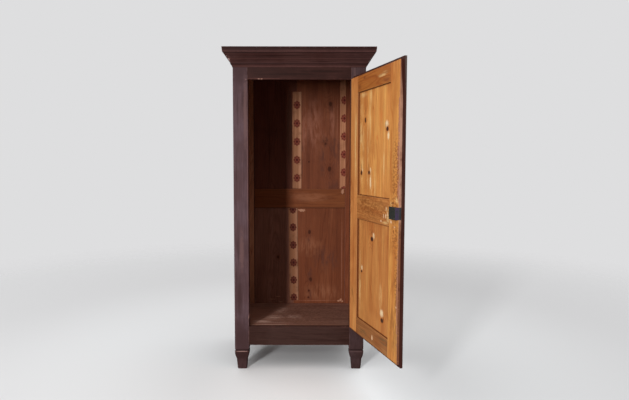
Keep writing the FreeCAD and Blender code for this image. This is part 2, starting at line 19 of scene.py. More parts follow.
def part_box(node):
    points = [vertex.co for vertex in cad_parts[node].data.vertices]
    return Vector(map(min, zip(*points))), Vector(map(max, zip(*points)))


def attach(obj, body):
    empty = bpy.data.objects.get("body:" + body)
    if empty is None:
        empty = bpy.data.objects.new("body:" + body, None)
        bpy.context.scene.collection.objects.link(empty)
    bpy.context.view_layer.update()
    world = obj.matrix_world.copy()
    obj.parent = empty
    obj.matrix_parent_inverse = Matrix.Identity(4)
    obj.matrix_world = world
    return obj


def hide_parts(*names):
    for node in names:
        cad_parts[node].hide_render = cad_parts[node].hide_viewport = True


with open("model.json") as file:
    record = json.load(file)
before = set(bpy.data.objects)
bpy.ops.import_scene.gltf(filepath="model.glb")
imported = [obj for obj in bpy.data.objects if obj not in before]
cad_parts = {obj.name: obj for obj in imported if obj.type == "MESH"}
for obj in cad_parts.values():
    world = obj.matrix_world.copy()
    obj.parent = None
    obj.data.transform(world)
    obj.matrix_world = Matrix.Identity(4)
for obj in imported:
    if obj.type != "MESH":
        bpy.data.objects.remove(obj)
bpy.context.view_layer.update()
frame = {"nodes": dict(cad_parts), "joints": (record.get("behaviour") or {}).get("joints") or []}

log = logging.getLogger("cupboard")

Colour = tuple[float, float, float, float]
Triple = tuple[float, float, float]
Row = tuple[float, float, float, float]
Plane = tuple[Triple, Triple]
Feeds = dict[str | int, object]
Socket = bpy.types.NodeSocket
Material = bpy.types.Material
Piece = bpy.types.Object
Form = bmesh.types.BMesh

UP = "Z"
ORIGIN = (0.0, 0.0, 0.0)
WHOLE = (1.0, 1.0, 1.0)
FORWARD, BACKWARD = (0.0, -1.0, 0.0), (0.0, 1.0, 0.0)
LEFTWARD, RIGHTWARD = (-1.0, 0.0, 0.0), (1.0, 0.0, 0.0)


def mm(value: float) -> float:
    """Millimetres as metres."""
    return value / 1000


def rgb(red: int, green: int, blue: int) -> Colour:
    """A colour as it looks on a screen, made linear.

    Args:
        red, green, blue: 0 to 255.

    Returns:
        The linear colour with an alpha of 1.
    """
    parts = [c / 255 for c in (red, green, blue)]
    linear = [c / 12.92 if c <= 0.04045 else ((c + 0.055) / 1.055) ** 2.4 for c in parts]
    return linear[0], linear[1], linear[2], 1.0


# ------------------------------------------------------------------ places
class Grain(Enum):
    """The way a board's grain runs, as the turn that stands it upright."""

    UPRIGHT = (0.0, 0.0, 0.0)
    ACROSS = (0.0, -math.pi / 2, 0.0)
    DEEP = (math.pi / 2, 0.0, 0.0)


@dataclass(frozen=True)
class Place:
    """Where a piece is drawn: the frame that its pattern and its faces are read in.

    Attributes:
        turn: turn about +Z that brings the piece from rest into that frame.
        move: shift that follows the turn.
    """

    turn: float = 0.0
    move: Triple = ORIGIN

    def matrix(self) -> Matrix:
        """Rest to the piece's own frame."""
        return Matrix.Translation(self.move) @ Matrix.Rotation(self.turn, 4, UP)

    def box(self, node: str) -> tuple[Vector, Vector]:
        """Lowest and highest corner of a node in this frame.

        Args:
            node: name of the CAD node.

        Returns:
            The two corners.
        """
        to_place = self.matrix()
        points = [to_place @ vertex.co for vertex in frame["nodes"][node].data.vertices]
        low = Vector([min(p[i] for p in points) for i in range(3)])
        high = Vector([max(p[i] for p in points) for i in range(3)])
        return low, high


def shut_door_place() -> Place:
    """The frame in which the door is shut, found from its hinge joint.

    Returns:
        The frame.
    """
    joint = next(j for j in frame["joints"] if j["name"] == "door_hinge")
    hinge = Vector(joint["pos_m"])
    turn = math.radians(joint["range_deg"][0])
    move = hinge - Matrix.Rotation(turn, 3, UP) @ hinge
    return Place(turn, tuple(move))


@dataclass(frozen=True)
class Mark:
    """A knot, chip or stain on a flat face.

    Attributes:
        centre: its middle, in the piece's frame.
        reach: half of its size along each axis; 0 leaves that axis out.
    """

    centre: Triple
    reach: Triple


Marks = tuple[Mark, ...]


def mark(centre: Triple, reach: Triple) -> Mark:
    """A mark from its sizes in millimetres."""
    return Mark(tuple(map(mm, centre)), tuple(map(mm, reach)))


def on_wall(*rows: Row) -> Marks:
    """Marks on an upright face: rows of x, z, half width and half height, in millimetres."""
    return tuple(mark((x, 0, z), (wide, 0, high)) for x, z, wide, high in rows)


def on_floor(*rows: Row) -> Marks:
    """Marks on a level face: rows of x, y, half width and half depth, in millimetres."""
    return tuple(mark((x, y, 0), (wide, deep, 0)) for x, y, wide, deep in rows)


def band(z: float, half_height: float) -> Mark:
    """A mark all round a piece at one height, in millimetres."""
    return mark((0, 0, z), (0, 0, half_height))


@dataclass(frozen=True)
class Spread:
    """How one kind of mark lies on a surface.

    Attributes:
        ragged: how much noise roughens its outline.
        fineness: scale of that noise.
        outer, inner: distance where it starts and where it is full, in its own half sizes.
        cover: how much it hides of the colour below.
    """

    ragged: float
    fineness: float
    outer: float
    inner: float
    cover: float = 1.0


# ------------------------------------------------------------------ node trees
class Nodes:
    """A node tree, with a short call for each kind of node."""

    def __init__(self, tree: bpy.types.NodeTree) -> None:
        """Work on a tree."""
        self.tree = tree

    def feed(self, value: object, socket: Socket) -> None:
        """Link an output to a socket, or set the socket's own value.

        Args:
            value: the output or the value.
            socket: the input.
        """
        if isinstance(value, Socket):
            self.tree.links.new(value, socket)
        else:
            socket.default_value = value

    def node(self, kind: str, feeds: Feeds, out: str | int = 0, **settings: object) -> Socket:
        """A new node.

        Args:
            kind: its type name.
            feeds: an output or a value for each input, by name or place.
            out: the output that is wanted.
            settings: its own properties.

        Returns:
            That output.
        """
        made = self.tree.nodes.new(kind)
        for name, value in settings.items():
            setattr(made, name, value)
        for name, value in feeds.items():
            self.feed(value, made.inputs[name])
        return made.outputs[out]

    def math(self, operation: str, a: object, b: object = 0.0) -> Socket:
        """One step of arithmetic."""
        return self.node("ShaderNodeMath", {0: a, 1: b}, operation=operation)

    def plus(self, a: object, b: object) -> Socket:
        """A sum."""
        return self.math("ADD", a, b)

    def minus(self, a: object, b: object) -> Socket:
        """A difference."""
        return self.math("SUBTRACT", a, b)

    def times(self, a: object, b: object) -> Socket:
        """A product."""
        return self.math("MULTIPLY", a, b)

    def split(self, vector: Socket) -> tuple[Socket, ...]:
        """The three numbers of a vector."""
        return tuple(self.node("ShaderNodeSeparateXYZ", {0: vector}).node.outputs)

    def span(self, value: Socket, low: float, high: float, start: float = 0.0,
             end: float = 1.0) -> Socket:
        """A smooth step from start at low to end at high."""
        feeds = dict(enumerate((value, low, high, start, end)))
        return self.node("ShaderNodeMapRange", feeds, interpolation_type="SMOOTHSTEP")

    def mix(self, share: object, a: object, b: object) -> Socket:
        """Two colours mixed."""
        return self.node("ShaderNodeMix", {0: share, 6: a, 7: b}, 2, data_type="RGBA")


class Graph(Nodes):
    """A material's node tree round one Principled shader; seen is the piece's coordinates."""

    def __init__(self, name: str, place: Place = Place()) -> None:
        """Start a material.

        Args:
            name: its name.
            place: the frame that its pattern is read in.
        """
        self.material = bpy.data.materials.new(name)
        self.material.use_nodes = True
        super().__init__(self.material.node_tree)
        self.shader = self.tree.nodes["Principled BSDF"]
        self.seen = self.mapping(self.node("ShaderNodeTexCoord", {}, "Object"), place.move,
                                 (0.0, 0.0, place.turn))

    def vector(self, operation: str, a: object, b: object = ORIGIN) -> Socket:
        """One step of vector arithmetic."""
        return self.node("ShaderNodeVectorMath", {0: a, 1: b}, operation=operation)

    def length(self, vector: Socket) -> Socket:
        """The length of a vector."""
        return self.node("ShaderNodeVectorMath", {0: vector}, "Value", operation="LENGTH")

    def scaled(self, colour: Socket, factor: object) -> Socket:
        """A colour or vector times a number."""
        return self.node("ShaderNodeVectorMath", {0: colour, "Scale": factor}, operation="SCALE")

    def mapping(self, vector: Socket, move: Triple = ORIGIN, turn: Triple = ORIGIN,
                scale: Triple = WHOLE) -> Socket:
        """A vector scaled, then turned, then moved."""
        return self.node("ShaderNodeMapping", dict(enumerate((vector, move, turn, scale))))

    def noise(self, vector: Socket, scale: float, detail: float = 2.0, roughness: float = 0.5,
              out: str = "Fac") -> Socket:
        """Soft noise from 0 to 1."""
        return self.node("ShaderNodeTexNoise", {"Vector": vector, "Scale": scale,
                                                "Detail": detail, "Roughness": roughness}, out)

    def streaks(self, laid: Socket, stretch: float, scale: float, detail: float = 3.0,
                roughness: float = 0.6, out: str = "Fac") -> Socket:
        """Noise drawn out along the grain."""
        drawn = self.mapping(laid, scale=(1.0, 1.0, stretch))
        return self.noise(drawn, scale, detail, roughness, out)

    def tint(self, colour: object, over: Colour, value: Socket, low: float, high: float,
             cover: float = 1.0) -> Socket:
        """A colour that another covers as a number goes from low to high."""
        return self.mix(self.span(value, low, high, 0.0, cover), colour, over)

    def ramp(self, share: Socket, *stops: tuple[float, Colour]) -> Socket:
        """A colour ramp.

        Args:
            share: the number that is looked up.
            stops: (place, colour) pairs in order.

        Returns:
            The colour.
        """
        colour = self.node("ShaderNodeValToRGB", {0: share})
        elements = colour.node.color_ramp.elements
        elements[0].position, elements[0].color = stops[0]
        elements[1].position, elements[1].color = stops[-1]
        for position, middle in stops[1:-1]:
            elements.new(position).color = middle
        return colour

    def nearest(self, marks: Marks, ragged: float, fineness: float) -> Socket:
        """Distance to the nearest mark, in that mark's own half sizes.

        Args:
            marks: the marks.
            ragged: how much noise roughens the distance.
            fineness: scale of that noise.

        Returns:
            The distance, which is 1 on a mark's edge.
        """
        found = None
        for each in marks:
            offset = self.vector("SUBTRACT", self.seen, each.centre)
            shrink = tuple(1 / r if r else 0.0 for r in each.reach)
            here = self.length(self.vector("MULTIPLY", offset, shrink))
            found = here if found is None else self.math("MINIMUM", found, here)
        rough = self.minus(self.noise(self.seen, fineness, 3.0), 0.5)
        return self.plus(found, self.times(rough, ragged))

    def marked(self, colour: Socket, over: Colour, marks: Marks, spread: Spread,
               cloud: tuple[Socket, float, float] | None = None) -> Socket:
        """A colour that another covers on marks.

        Args:
            colour: the colour below.
            over: the marks' colour.
            marks: the marks; without any the colour stays.
            spread: how they lie.
            cloud: a number, and its low and high, between which it lets them through.

        Returns:
            The colour.
        """
        if not marks:
            return colour
        near = self.nearest(marks, spread.ragged, spread.fineness)
        share = self.span(near, spread.outer, spread.inner, 0.0, spread.cover)
        if cloud is not None:
            share = self.times(share, self.span(*cloud))
        return self.mix(share, colour, over)

    def arris(self, low: Vector, high: Vector) -> Socket:
        """Distance from the nearest arris of an upright block, for a point on its surface.

        Args:
            low, high: the block's corners.

        Returns:
            The distance in metres.
        """
        centre, half = (low + high) / 2, (high - low) / 2
        offset = self.vector("ABSOLUTE", self.vector("SUBTRACT", self.seen, tuple(centre)))
        x, y, z = self.split(self.vector("SUBTRACT", tuple(half), offset))
        smaller, larger = self.math("MINIMUM", x, y), self.math("MAXIMUM", x, y)
        return self.math("MAXIMUM", smaller, self.math("MINIMUM", larger, z))

    def attribute(self, name: str) -> Socket:
        """A number stored on the mesh."""
        return self.node("ShaderNodeAttribute", {}, "Fac", attribute_name=name)

    def relief(self, height: Socket, depth: float, under: Socket | None = None) -> Socket:
        """A bump of the given depth in metres, over another one if it is given."""
        feeds = {"Strength": 1.0, "Distance": depth, "Height": height}
        return self.node("ShaderNodeBump", feeds if under is None else {**feeds, "Normal": under})

    def finish(self, colour: object, roughness: object, normal: Socket,
               **fixed: float) -> Material:
        """Feed the shader and hand over the material.

        Args:
            colour: base colour.
            roughness: roughness.
            normal: bump.
            fixed: other sockets by name, with spaces as underscores; they are set, not linked.

        Returns:
            The material.
        """
        feeds = {"Base Color": colour, "Roughness": roughness, "Normal": normal,
                 **{name.replace("_", " "): value for name, value in fixed.items()}}
        for name, value in feeds.items():
            self.feed(value, self.shader.inputs[name])
        return self.material


# ------------------------------------------------------------------ wood
@dataclass(frozen=True)
class Board:
    """How one piece was sawn.

    Attributes:
        node: CAD node, which also seeds where the heart of the tree lay.
        grain: the way its grain runs.
        place: the frame that it is drawn in.
    """

    node: str
    grain: Grain
    place: Place = Place()

    LEAN = 0.03
    ASIDE = 0.05
    BEHIND = (0.05, 0.11)
    ALONG = 2.0

    def laid(self, graph: Graph) -> Socket:
        """Coordinates with the grain upright and the heart of the tree at the middle.

        Args:
            graph: the material's graph.

        Returns:
            The coordinates in metres.
        """
        low, high = self.place.box(self.node)
        draw = random.Random(self.node)
        lean = (draw.uniform(-self.LEAN, self.LEAN), draw.uniform(-self.LEAN, self.LEAN), 0.0)
        turn = tuple(map(sum, zip(self.grain.value, lean)))
        upright = Euler(turn).to_matrix()
        size = upright @ (high - low)
        sideways, behind = draw.uniform(-self.ASIDE, self.ASIDE), draw.uniform(*self.BEHIND)
        heart = (behind, sideways) if abs(size.x) < abs(size.y) else (sideways, behind)
        middle = upright @ ((low + high) / 2)
        along = draw.uniform(-self.ALONG, self.ALONG)
        move = (heart[0] - middle.x, heart[1] - middle.y, along)
        return graph.mapping(graph.seen, move, turn)


@dataclass(frozen=True)
class Figure:
    """What a board's figure hands to the finish.

    Attributes:
        colour: before knots and marks.
        rings: 1 on soft wood, 0 on hard rings.
        fibres: fine threads along the grain.
        cloud: soft streaks along the grain, which marks are broken up by.
        near: distance to the nearest knot, or nothing.
    """

    colour: Socket
    rings: Socket
    fibres: Socket
    cloud: Socket
    near: Socket | None


@dataclass(frozen=True)
class Pine:
    """Bare or stained softwood, from its colours.

    Attributes:
        name: word that starts the material's name.
        early, late: colours of a growth ring's soft and hard part.
        glow, shade: colours that drift over the board.
        knot: colour of a knot's heart.
        tone: share of red, green and blue that this board keeps.
        ring_share: how clearly the rings show.
        drift_share: how much the glow and shade show.
        thread_share: how much the threads differ.
        roughness: of the surface.
        ring_width: in metres.
        gloss: specular level.
    """

    name: str
    early: Colour
    late: Colour
    glow: Colour
    shade: Colour
    knot: Colour
    tone: Triple = WHOLE
    ring_share: float = 0.7
    drift_share: float = 0.6
    thread_share: float = 0.12
    roughness: float = 0.62
    ring_width: float = 0.006
    gloss: float = 0.3

    # Streaks as stretch along the grain, scale, detail and roughness; patches don't stretch.
    WANDERING = (0.16, 11.0, 2.0, 0.5)
    FIBRES = (0.02, 520.0, 2.0)
    THREADS = (0.014, 120.0, 3.0, 0.65)
    DRIFT = (0.12, 17.0, 3.0, 0.55)
    CLOUD = (0.22, 48.0, 4.0)
    PATCHES = (5.0, 3.0, 0.6)
    # Where on them a colour starts and is full; with four numbers, also its factor at each.
    GLOWING, SHADED, PATCHED = (0.5, 0.72), (0.5, 0.3), (0.5, 0.68)
    FINE_TONES = (0.3, 0.7, 0.84, 1.06)
    COARSE = (0.34, 0.66)
    # The same for the distance to a knot, then how much is covered; then its ragged outline.
    KNOT_RING, KNOT_RIM, KNOT_HEART = (2.6, 1.0, 0.5), (1.2, 0.9, 0.8), (1.0, 0.6)
    KNOT_EDGE = (0.5, 60.0)
    KNOT_REACH = (4.5, 0.5)
    KNOT_SWIRL = 14.0
    SOFT_RING = 0.35
    WANDER = 0.05
    GRAIN_STRETCH = 0.045
    WAVE_UNIT = 0.314
    RING_DEPTH = 0.00012
    FIBRE_DEPTH = 0.0002

    def figure(self, graph: Graph, board: Board, knots: Marks) -> Figure:
        """The wood before any wear.

        Args:
            graph: the material's graph.
            board: how it was sawn.
            knots: its knots, which the rings flow round.

        Returns:
            The figure.
        """
        laid = board.laid(graph)
        wander = graph.streaks(laid, *self.WANDERING, "Color")
        offset = graph.scaled(graph.vector("SUBTRACT", wander, (0.5, 0.5, 0.5)), self.WANDER)
        long = graph.mapping(laid, scale=(1.0, 1.0, self.GRAIN_STRETCH))
        feeds = {"Vector": graph.vector("ADD", long, offset), "Distortion": 7.0, "Detail": 2.5,
                 "Scale": self.WAVE_UNIT / self.ring_width, "Detail Scale": 0.35}
        near = graph.nearest(knots, *self.KNOT_EDGE) if knots else None
        if near is not None:
            feeds["Phase Offset"] = graph.span(near, *self.KNOT_REACH, 0.0, self.KNOT_SWIRL)
        rings = graph.node("ShaderNodeTexWave", feeds, "Fac", wave_type="RINGS",
                           rings_direction="Z", wave_profile="SIN")
        fibres, threads, drift, cloud = (
            graph.streaks(laid, *streak)
            for streak in (self.FIBRES, self.THREADS, self.DRIFT, self.CLOUD))
        patches = graph.noise(laid, *self.PATCHES)

        plain = graph.mix(0.5, self.early, self.late)
        ringed = graph.ramp(rings, (0.0, self.late), (self.SOFT_RING, self.early),
                            (1.0, self.early))
        colour = graph.mix(self.ring_share, plain, ringed)
        colour = graph.tint(colour, self.glow, drift, *self.GLOWING, self.drift_share)
        colour = graph.tint(colour, self.shade, drift, *self.SHADED, self.drift_share)
        colour = graph.tint(colour, self.shade, patches, *self.PATCHED, self.drift_share * 0.6)
        fine = graph.span(fibres, *self.FINE_TONES)
        coarse = graph.span(threads, *self.COARSE, 1 - self.thread_share, 1 + self.thread_share)
        colour = graph.vector("MULTIPLY", graph.scaled(colour, graph.times(fine, coarse)),
                              self.tone)
        return Figure(colour, rings, fibres, cloud, near)

    def knotted(self, graph: Graph, colour: Socket, near: Socket) -> Socket:
        """A colour with the knots in it: a soft ring, a dark rim and the heart.

        Args:
            graph: the material's graph.
            colour: the colour below.
            near: distance to the nearest knot.

        Returns:
            The colour.
        """
        colour = graph.tint(colour, self.late, near, *self.KNOT_RING)
        colour = graph.tint(colour, self.shade, near, *self.KNOT_RIM)
        return graph.tint(colour, self.knot, near, *self.KNOT_HEART)

    def relief(self, graph: Graph, figure: Figure) -> Socket:
        """Raised hard rings and open fibres."""
        open_fibres = graph.relief(figure.fibres, self.FIBRE_DEPTH)
        return graph.relief(figure.rings, self.RING_DEPTH, open_fibres)


@dataclass(frozen=True)
class Bench:
    """What a bare-wood piece gets besides its figure.

    Attributes:
        knots: its knots.
        pale: pale streaks where light plays in the figure.
        halos: small cream crescents beside knots.
        chips: spots where the surface is broken and light.
        dark: dents, nail holes and grime; on the back's upper left board and on the left rear
            post also painted shade.
        smears: soft stains.
        rubs: spots where paint has rubbed off on the wood.
        flecked: areas with small dark flecks.
    """

    knots: Marks = ()
    pale: Marks = ()
    halos: Marks = ()
    chips: Marks = ()
    dark: Marks = ()
    smears: Marks = ()
    rubs: Marks = ()
    flecked: Marks = ()


@dataclass(frozen=True)
class Sight:
    """The opening through which a panel shows; along its sides the panel is drawn darker, soil
    together with painted shade in the recess by the frame.

    Attributes:
        half_width: of the opening.
        low, high: its lower and upper end.
    """

    half_width: float
    low: float
    high: float

    LAG = 0.3

    def inside(self, graph: Graph) -> Socket:
        """Distance in from the opening's nearest side, where the far side in X counts less.

        Args:
            graph: the material's graph.

        Returns:
            The distance in metres.
        """
        x, _, z = graph.split(graph.seen)
        far = graph.times(graph.minus(self.half_width, x), self.LAG)
        side = graph.math("MINIMUM", far, graph.plus(x, self.half_width))
        ends = graph.math("MINIMUM", graph.minus(z, self.low), graph.minus(self.high, z))
        return graph.math("MINIMUM", side, ends)


@dataclass(frozen=True)
class Age:
    """How a bare surface has aged.

    Attributes:
        pale, halo, chip, grime, smear, rubbed, fleck: colours of its marks; the grime colour also
        paints shade: at the back's shadow edge, in the gap by the left rear post and along the
        panels' sides.
        arris: colour along its arrises.
        rub: how clearly its arrises show that colour.
        reach: how far it reaches from them.
        play: how clearly the pale streaks show.
    """

    pale: Colour = rgb(228, 178, 112)
    halo: Colour = rgb(244, 216, 172)
    chip: Colour = rgb(240, 206, 168)
    grime_and_shade: Colour = rgb(66, 34, 18)
    smear: Colour = rgb(132, 100, 70)
    rubbed: Colour = rgb(158, 104, 92)
    fleck: Colour = rgb(88, 54, 34)
    arris: Colour = rgb(240, 190, 124)
    rub: float = 0.35
    reach: float = mm(5)
    play: float = 0.5


# How each kind of mark lies on bare wood, and where on the cloud it shows.
PALED = Spread(0.7, 45.0, 1.4, 0.2)
SMEARED = Spread(1.2, 60.0, 1.4, 0.3, 0.7)
HALOED = Spread(1.1, 110.0, 1.3, 0.4, 0.92)
RUBBED = Spread(2.2, 130.0, 1.1, 0.6, 0.85)
FLECKED = Spread(1.2, 60.0, 1.4, 0.4, 0.75)
DARKENED = Spread(0.8, 150.0, 1.15, 0.5, 0.9)
CHIPPED = Spread(2.2, 170.0, 1.1, 0.75, 0.9)
LIGHT_CLOUD, DARK_CLOUD, FLECK_CLOUD = (0.36, 0.58), (0.6, 0.4), (0.44, 0.58)
ARRIS_CORE = mm(0.5)
# How the darkening along a panel's sides wavers and spreads: soil together with painted shade in
# the recess by the frame.
DIRT_AND_SHADE_WAVE = mm(5)
DIRT_AND_SHADE_SPAN = (mm(5), mm(-1), 0.85)


def bare_wood(pine: Pine, board: Board, bench: Bench = Bench(), age: Age = Age(),
              sight: Sight | None = None) -> Material:
    """A piece's bare or stained wood.

    Args:
        pine: the wood.
        board: how it was sawn.
        bench: its knots and marks.
        age: how it has aged.
        sight: the opening that it shows through, if it is a panel.

    Returns:
        The material.
    """
    graph = Graph(f"{pine.name}_{board.node}", board.place)
    figure = pine.figure(graph, board, bench.knots)
    colour = graph.marked(figure.colour, age.pale, bench.pale, replace(PALED, cover=age.play),
                          (figure.cloud, *LIGHT_CLOUD))
    colour = graph.marked(colour, age.smear, bench.smears, SMEARED, (figure.cloud, *DARK_CLOUD))
    colour = graph.marked(colour, age.halo, bench.halos, HALOED)
    if figure.near is not None:
        colour = pine.knotted(graph, colour, figure.near)
    edge = graph.arris(*board.place.box(board.node))
    colour = graph.tint(colour, age.arris, edge, age.reach, ARRIS_CORE, age.rub)
    # A panel is darker along its sides: soil, and painted shade in the recess by the frame.
    if sight is not None:
        uneven = graph.times(graph.noise(graph.seen, 70.0, 3.0), DIRT_AND_SHADE_WAVE)
        dirt_and_shade = graph.minus(sight.inside(graph), uneven)
        colour = graph.tint(colour, age.grime_and_shade, dirt_and_shade, *DIRT_AND_SHADE_SPAN)
    colour = graph.marked(colour, age.rubbed, bench.rubs, RUBBED)
    if bench.flecked:
        spots = graph.noise(graph.mapping(graph.seen, scale=(0.6, 1.0, 1.0)), 90.0, 3.0, 0.75)
        colour = graph.marked(colour, age.fleck, bench.flecked, FLECKED, (spots, *FLECK_CLOUD))
    colour = graph.marked(colour, age.grime_and_shade, bench.dark, DARKENED)
    colour = graph.marked(colour, age.chip, bench.chips, CHIPPED)
    roughness = graph.span(figure.fibres, 0.2, 0.8, pine.roughness - 0.08, pine.roughness + 0.08)
    return graph.finish(colour, roughness, pine.relief(graph, figure),
                        Specular_IOR_Level=pine.gloss)


@dataclass(frozen=True)
class Wear:
    """Where a painted piece differs from the rest of its paint.

    Attributes:
        chips: spots where the paint is gone.
        rubbed: spots and lines where the undercoat shows; on the feet's collars also a painted
            highlight.
        darkened: spots and lines that are darker: gathered soil, and painted shade in the feet's
            neck grooves.
    """

    chips: Marks = ()
    rubbed: Marks = ()
    darkened: Marks = ()


@dataclass(frozen=True)
class Paint:
    """Old oil paint on wood.

    Attributes:
        ground: the paint's main colour.
        faded, deep: colours that it drifts to.
        under: the undercoat that shows where it is rubbed.
        wood: the wood that shows where it is worn through.
        wear: how far the arrises are worn, 1 being usual.
        roughness: of the paint film.
        darker_below: height below which the paint is darker.
    """

    ground: Colour = rgb(46, 24, 20)
    faded: Colour = rgb(57, 34, 30)
    deep: Colour = rgb(34, 16, 14)
    under: Colour = rgb(86, 52, 46)
    wood: Colour = rgb(158, 118, 104)
    wear: float = 1.0
    roughness: float = 0.5
    darker_below: float = 0.0

    GLOSS = 0.06
    BELOW_TINT = (0.62, 0.52, 0.46)
    BELOW_FADE = mm(12)
    # Darkened marks lie like this: soil, and painted shade in grooves.
    DIRT_AND_SHADE = Spread(0.6, 40.0, 1.4, 0.3, 0.8)
    THIN = Spread(0.9, 70.0, 1.4, 0.4, 0.65)
    GONE = Spread(0.9, 220.0, 1.1, 0.8)
    # Streaks as stretch and scale; noise as scale, detail and roughness.
    BRUSHED = (0.03, 330.0)
    STREAKS = (0.05, 60.0)
    PATCHES = (4.5, 4.0, 0.6)
    SPECKLE = (420.0, 2.0, 0.6)
    UNEVEN = (38.0, 4.0, 0.65)
    REACH = mm(8)
    WORN_SPAN = (mm(2), mm(-3))

    def worn(self, graph: Graph, board: Board) -> tuple[Socket, Socket]:
        """Where the film is thin along the arrises, and where it is through to the wood.

        Args:
            graph: the material's graph.
            board: the piece.

        Returns:
            The two shares.
        """
        edge = graph.arris(*board.place.box(board.node))
        uneven = graph.noise(graph.seen, *self.UNEVEN)
        reach = graph.times(graph.span(uneven, 0.35, 0.75), self.REACH * self.wear)
        crest = graph.times(graph.attribute("worn"), graph.span(uneven, 0.4, 0.62, 0.3, 1.0))
        thin = graph.math("MAXIMUM", graph.span(graph.minus(edge, reach), *self.WORN_SPAN),
                          crest)
        through = graph.times(crest, graph.span(uneven, 0.6, 0.7, 0.0, 0.7 * self.wear))
        return thin, through

    def coat(self, board: Board, wear: Wear = Wear()) -> Material:
        """The paint on one piece.

        Args:
            board: how the piece was sawn; its grain shows through the paint.
            wear: where it differs.

        Returns:
            The material.
        """
        graph = Graph(f"oxblood_paint_{board.node}", board.place)
        laid = board.laid(graph)
        brushed = graph.streaks(laid, *self.BRUSHED)
        streaks = graph.streaks(laid, *self.STREAKS)
        patches = graph.noise(laid, *self.PATCHES)
        speckle = graph.noise(graph.seen, *self.SPECKLE)

        colour = graph.tint(self.ground, self.faded, patches, 0.4, 0.64, 0.8)
        colour = graph.tint(colour, self.faded, streaks, 0.55, 0.75, 0.6)
        colour = graph.tint(colour, self.deep, streaks, 0.44, 0.28, 0.6)
        colour = graph.scaled(colour, graph.span(brushed, 0.32, 0.68, 0.82, 1.16))
        colour = graph.tint(colour, self.under, speckle, 0.70, 0.78, 0.25)
        colour = graph.marked(colour, self.deep, wear.darkened, self.DIRT_AND_SHADE)
        colour = graph.marked(colour, self.under, wear.rubbed, self.THIN)
        thin, through = self.worn(graph, board)
        colour = graph.mix(graph.times(thin, 0.5), colour, self.under)
        colour = graph.mix(through, colour, self.wood)
        # Below a given height the paint is drawn darker, fading in over a short distance.
        if self.darker_below:
            _, _, z = graph.split(graph.seen)
            dark = graph.vector("MULTIPLY", colour, self.BELOW_TINT)
            low = graph.span(z, self.darker_below + self.BELOW_FADE, self.darker_below - self.BELOW_FADE)
            colour = graph.mix(low, colour, dark)
        colour = graph.marked(colour, self.wood, wear.chips, self.GONE)
        film = graph.span(patches, 0.3, 0.7, self.roughness - 0.06, self.roughness + 0.1)
        roughness = graph.plus(film, graph.times(thin, 0.12))
        bump = graph.relief(brushed, 0.0003, graph.relief(streaks, 0.0005))
        return graph.finish(colour, roughness, bump, Specular_IOR_Level=self.GLOSS)


@dataclass(frozen=True)
class Edge:
    """The door's edge, from the room side to the outside: bare, handled, dark in the rebate, then
    grey; the dark is soil with painted shade, the grey worn paint with a painted sheen.

    Attributes:
        bare: the arris where the paint is gone.
        handled: pinkish paint on the part that enters the opening.
        worn: the same where it is rubbed.
        grime_and_shade: soil in the rebate with its shade painted in, and patches of soil where
            it is handled.
        outer: the lip's edge, grey: worn paint with a painted sheen along its arris.
    """

    bare: Colour = rgb(198, 144, 96)
    handled: Colour = rgb(118, 68, 46)
    worn: Colour = rgb(190, 142, 118)
    grime_and_shade: Colour = rgb(60, 26, 18)
    outer: Colour = rgb(92, 74, 68)

    # Streaks as stretch, scale, detail and roughness; noise as the last three.
    STREAKS = (0.06, 90.0, 3.0, 0.65)
    PATCHES = (7.0, 4.0, 0.65)
    FLAKES = (160.0, 3.0, 0.7)
    # Shares of the way from the room side to the outside.
    # The rebate band paints shade as well as soil; the lip band paints a sheen as well as worn
    # paint.
    BARE_END, REBATE, LIP = (0.02, 0.1), (0.44, 0.56), (0.84, 0.98)
    FLAKED = (0.5, 0.3)
    HAND_HEIGHT = mm(1230)
    HAND_SPAN = (mm(430), mm(240))

    def coat(self, board: Board, back: float, front: float) -> Material:
        """The edge of one piece of the door's frame.

        Args:
            board: how the piece was sawn.
            back: Y of the door's inner face.
            front: Y of its outer face.

        Returns:
            The material.
        """
        graph = Graph(f"edge_paint_{board.node}", board.place)
        laid = board.laid(graph)
        streaks = graph.streaks(laid, *self.STREAKS)
        patches = graph.noise(laid, *self.PATCHES)
        flakes = graph.noise(graph.seen, *self.FLAKES)
        _, y, z = graph.split(graph.seen)
        depth = graph.times(graph.minus(back, y), 1 / (back - front))
        depth = graph.plus(depth, graph.times(graph.minus(streaks, 0.5), 0.24))
        above = graph.minus(z, self.HAND_HEIGHT)
        depth = graph.plus(depth, graph.span(above, *reversed(self.HAND_SPAN), 0.0, 0.3))
        away = graph.span(graph.math("ABSOLUTE", above), *self.HAND_SPAN, 0.1, 1.0)
        share = graph.times(away, graph.span(patches, 0.3, 0.56, 0.3, 1.0))
        handled = graph.mix(share, self.handled, self.worn)
        handled = graph.tint(handled, self.grime_and_shade, patches, 0.42, 0.28, 0.8)
        colour = graph.mix(graph.span(depth, *self.BARE_END), self.bare, handled)
        # Soil with painted shade in the rebate, then worn paint with a painted sheen on the lip.
        colour = graph.tint(colour, self.grime_and_shade, depth, *self.REBATE)
        colour = graph.tint(colour, self.outer, depth, *self.LIP)
        colour = graph.scaled(colour, graph.span(streaks, 0.3, 0.7, 0.8, 1.15))
        flaked = graph.times(graph.span(flakes, 0.6, 0.68), graph.span(depth, *self.FLAKED))
        colour = graph.mix(graph.times(flaked, 0.7), colour, self.bare)
        bump = graph.relief(flakes, 0.0004, graph.relief(streaks, 0.0004))
        return graph.finish(colour, 0.6, bump, Specular_IOR_Level=0.2)


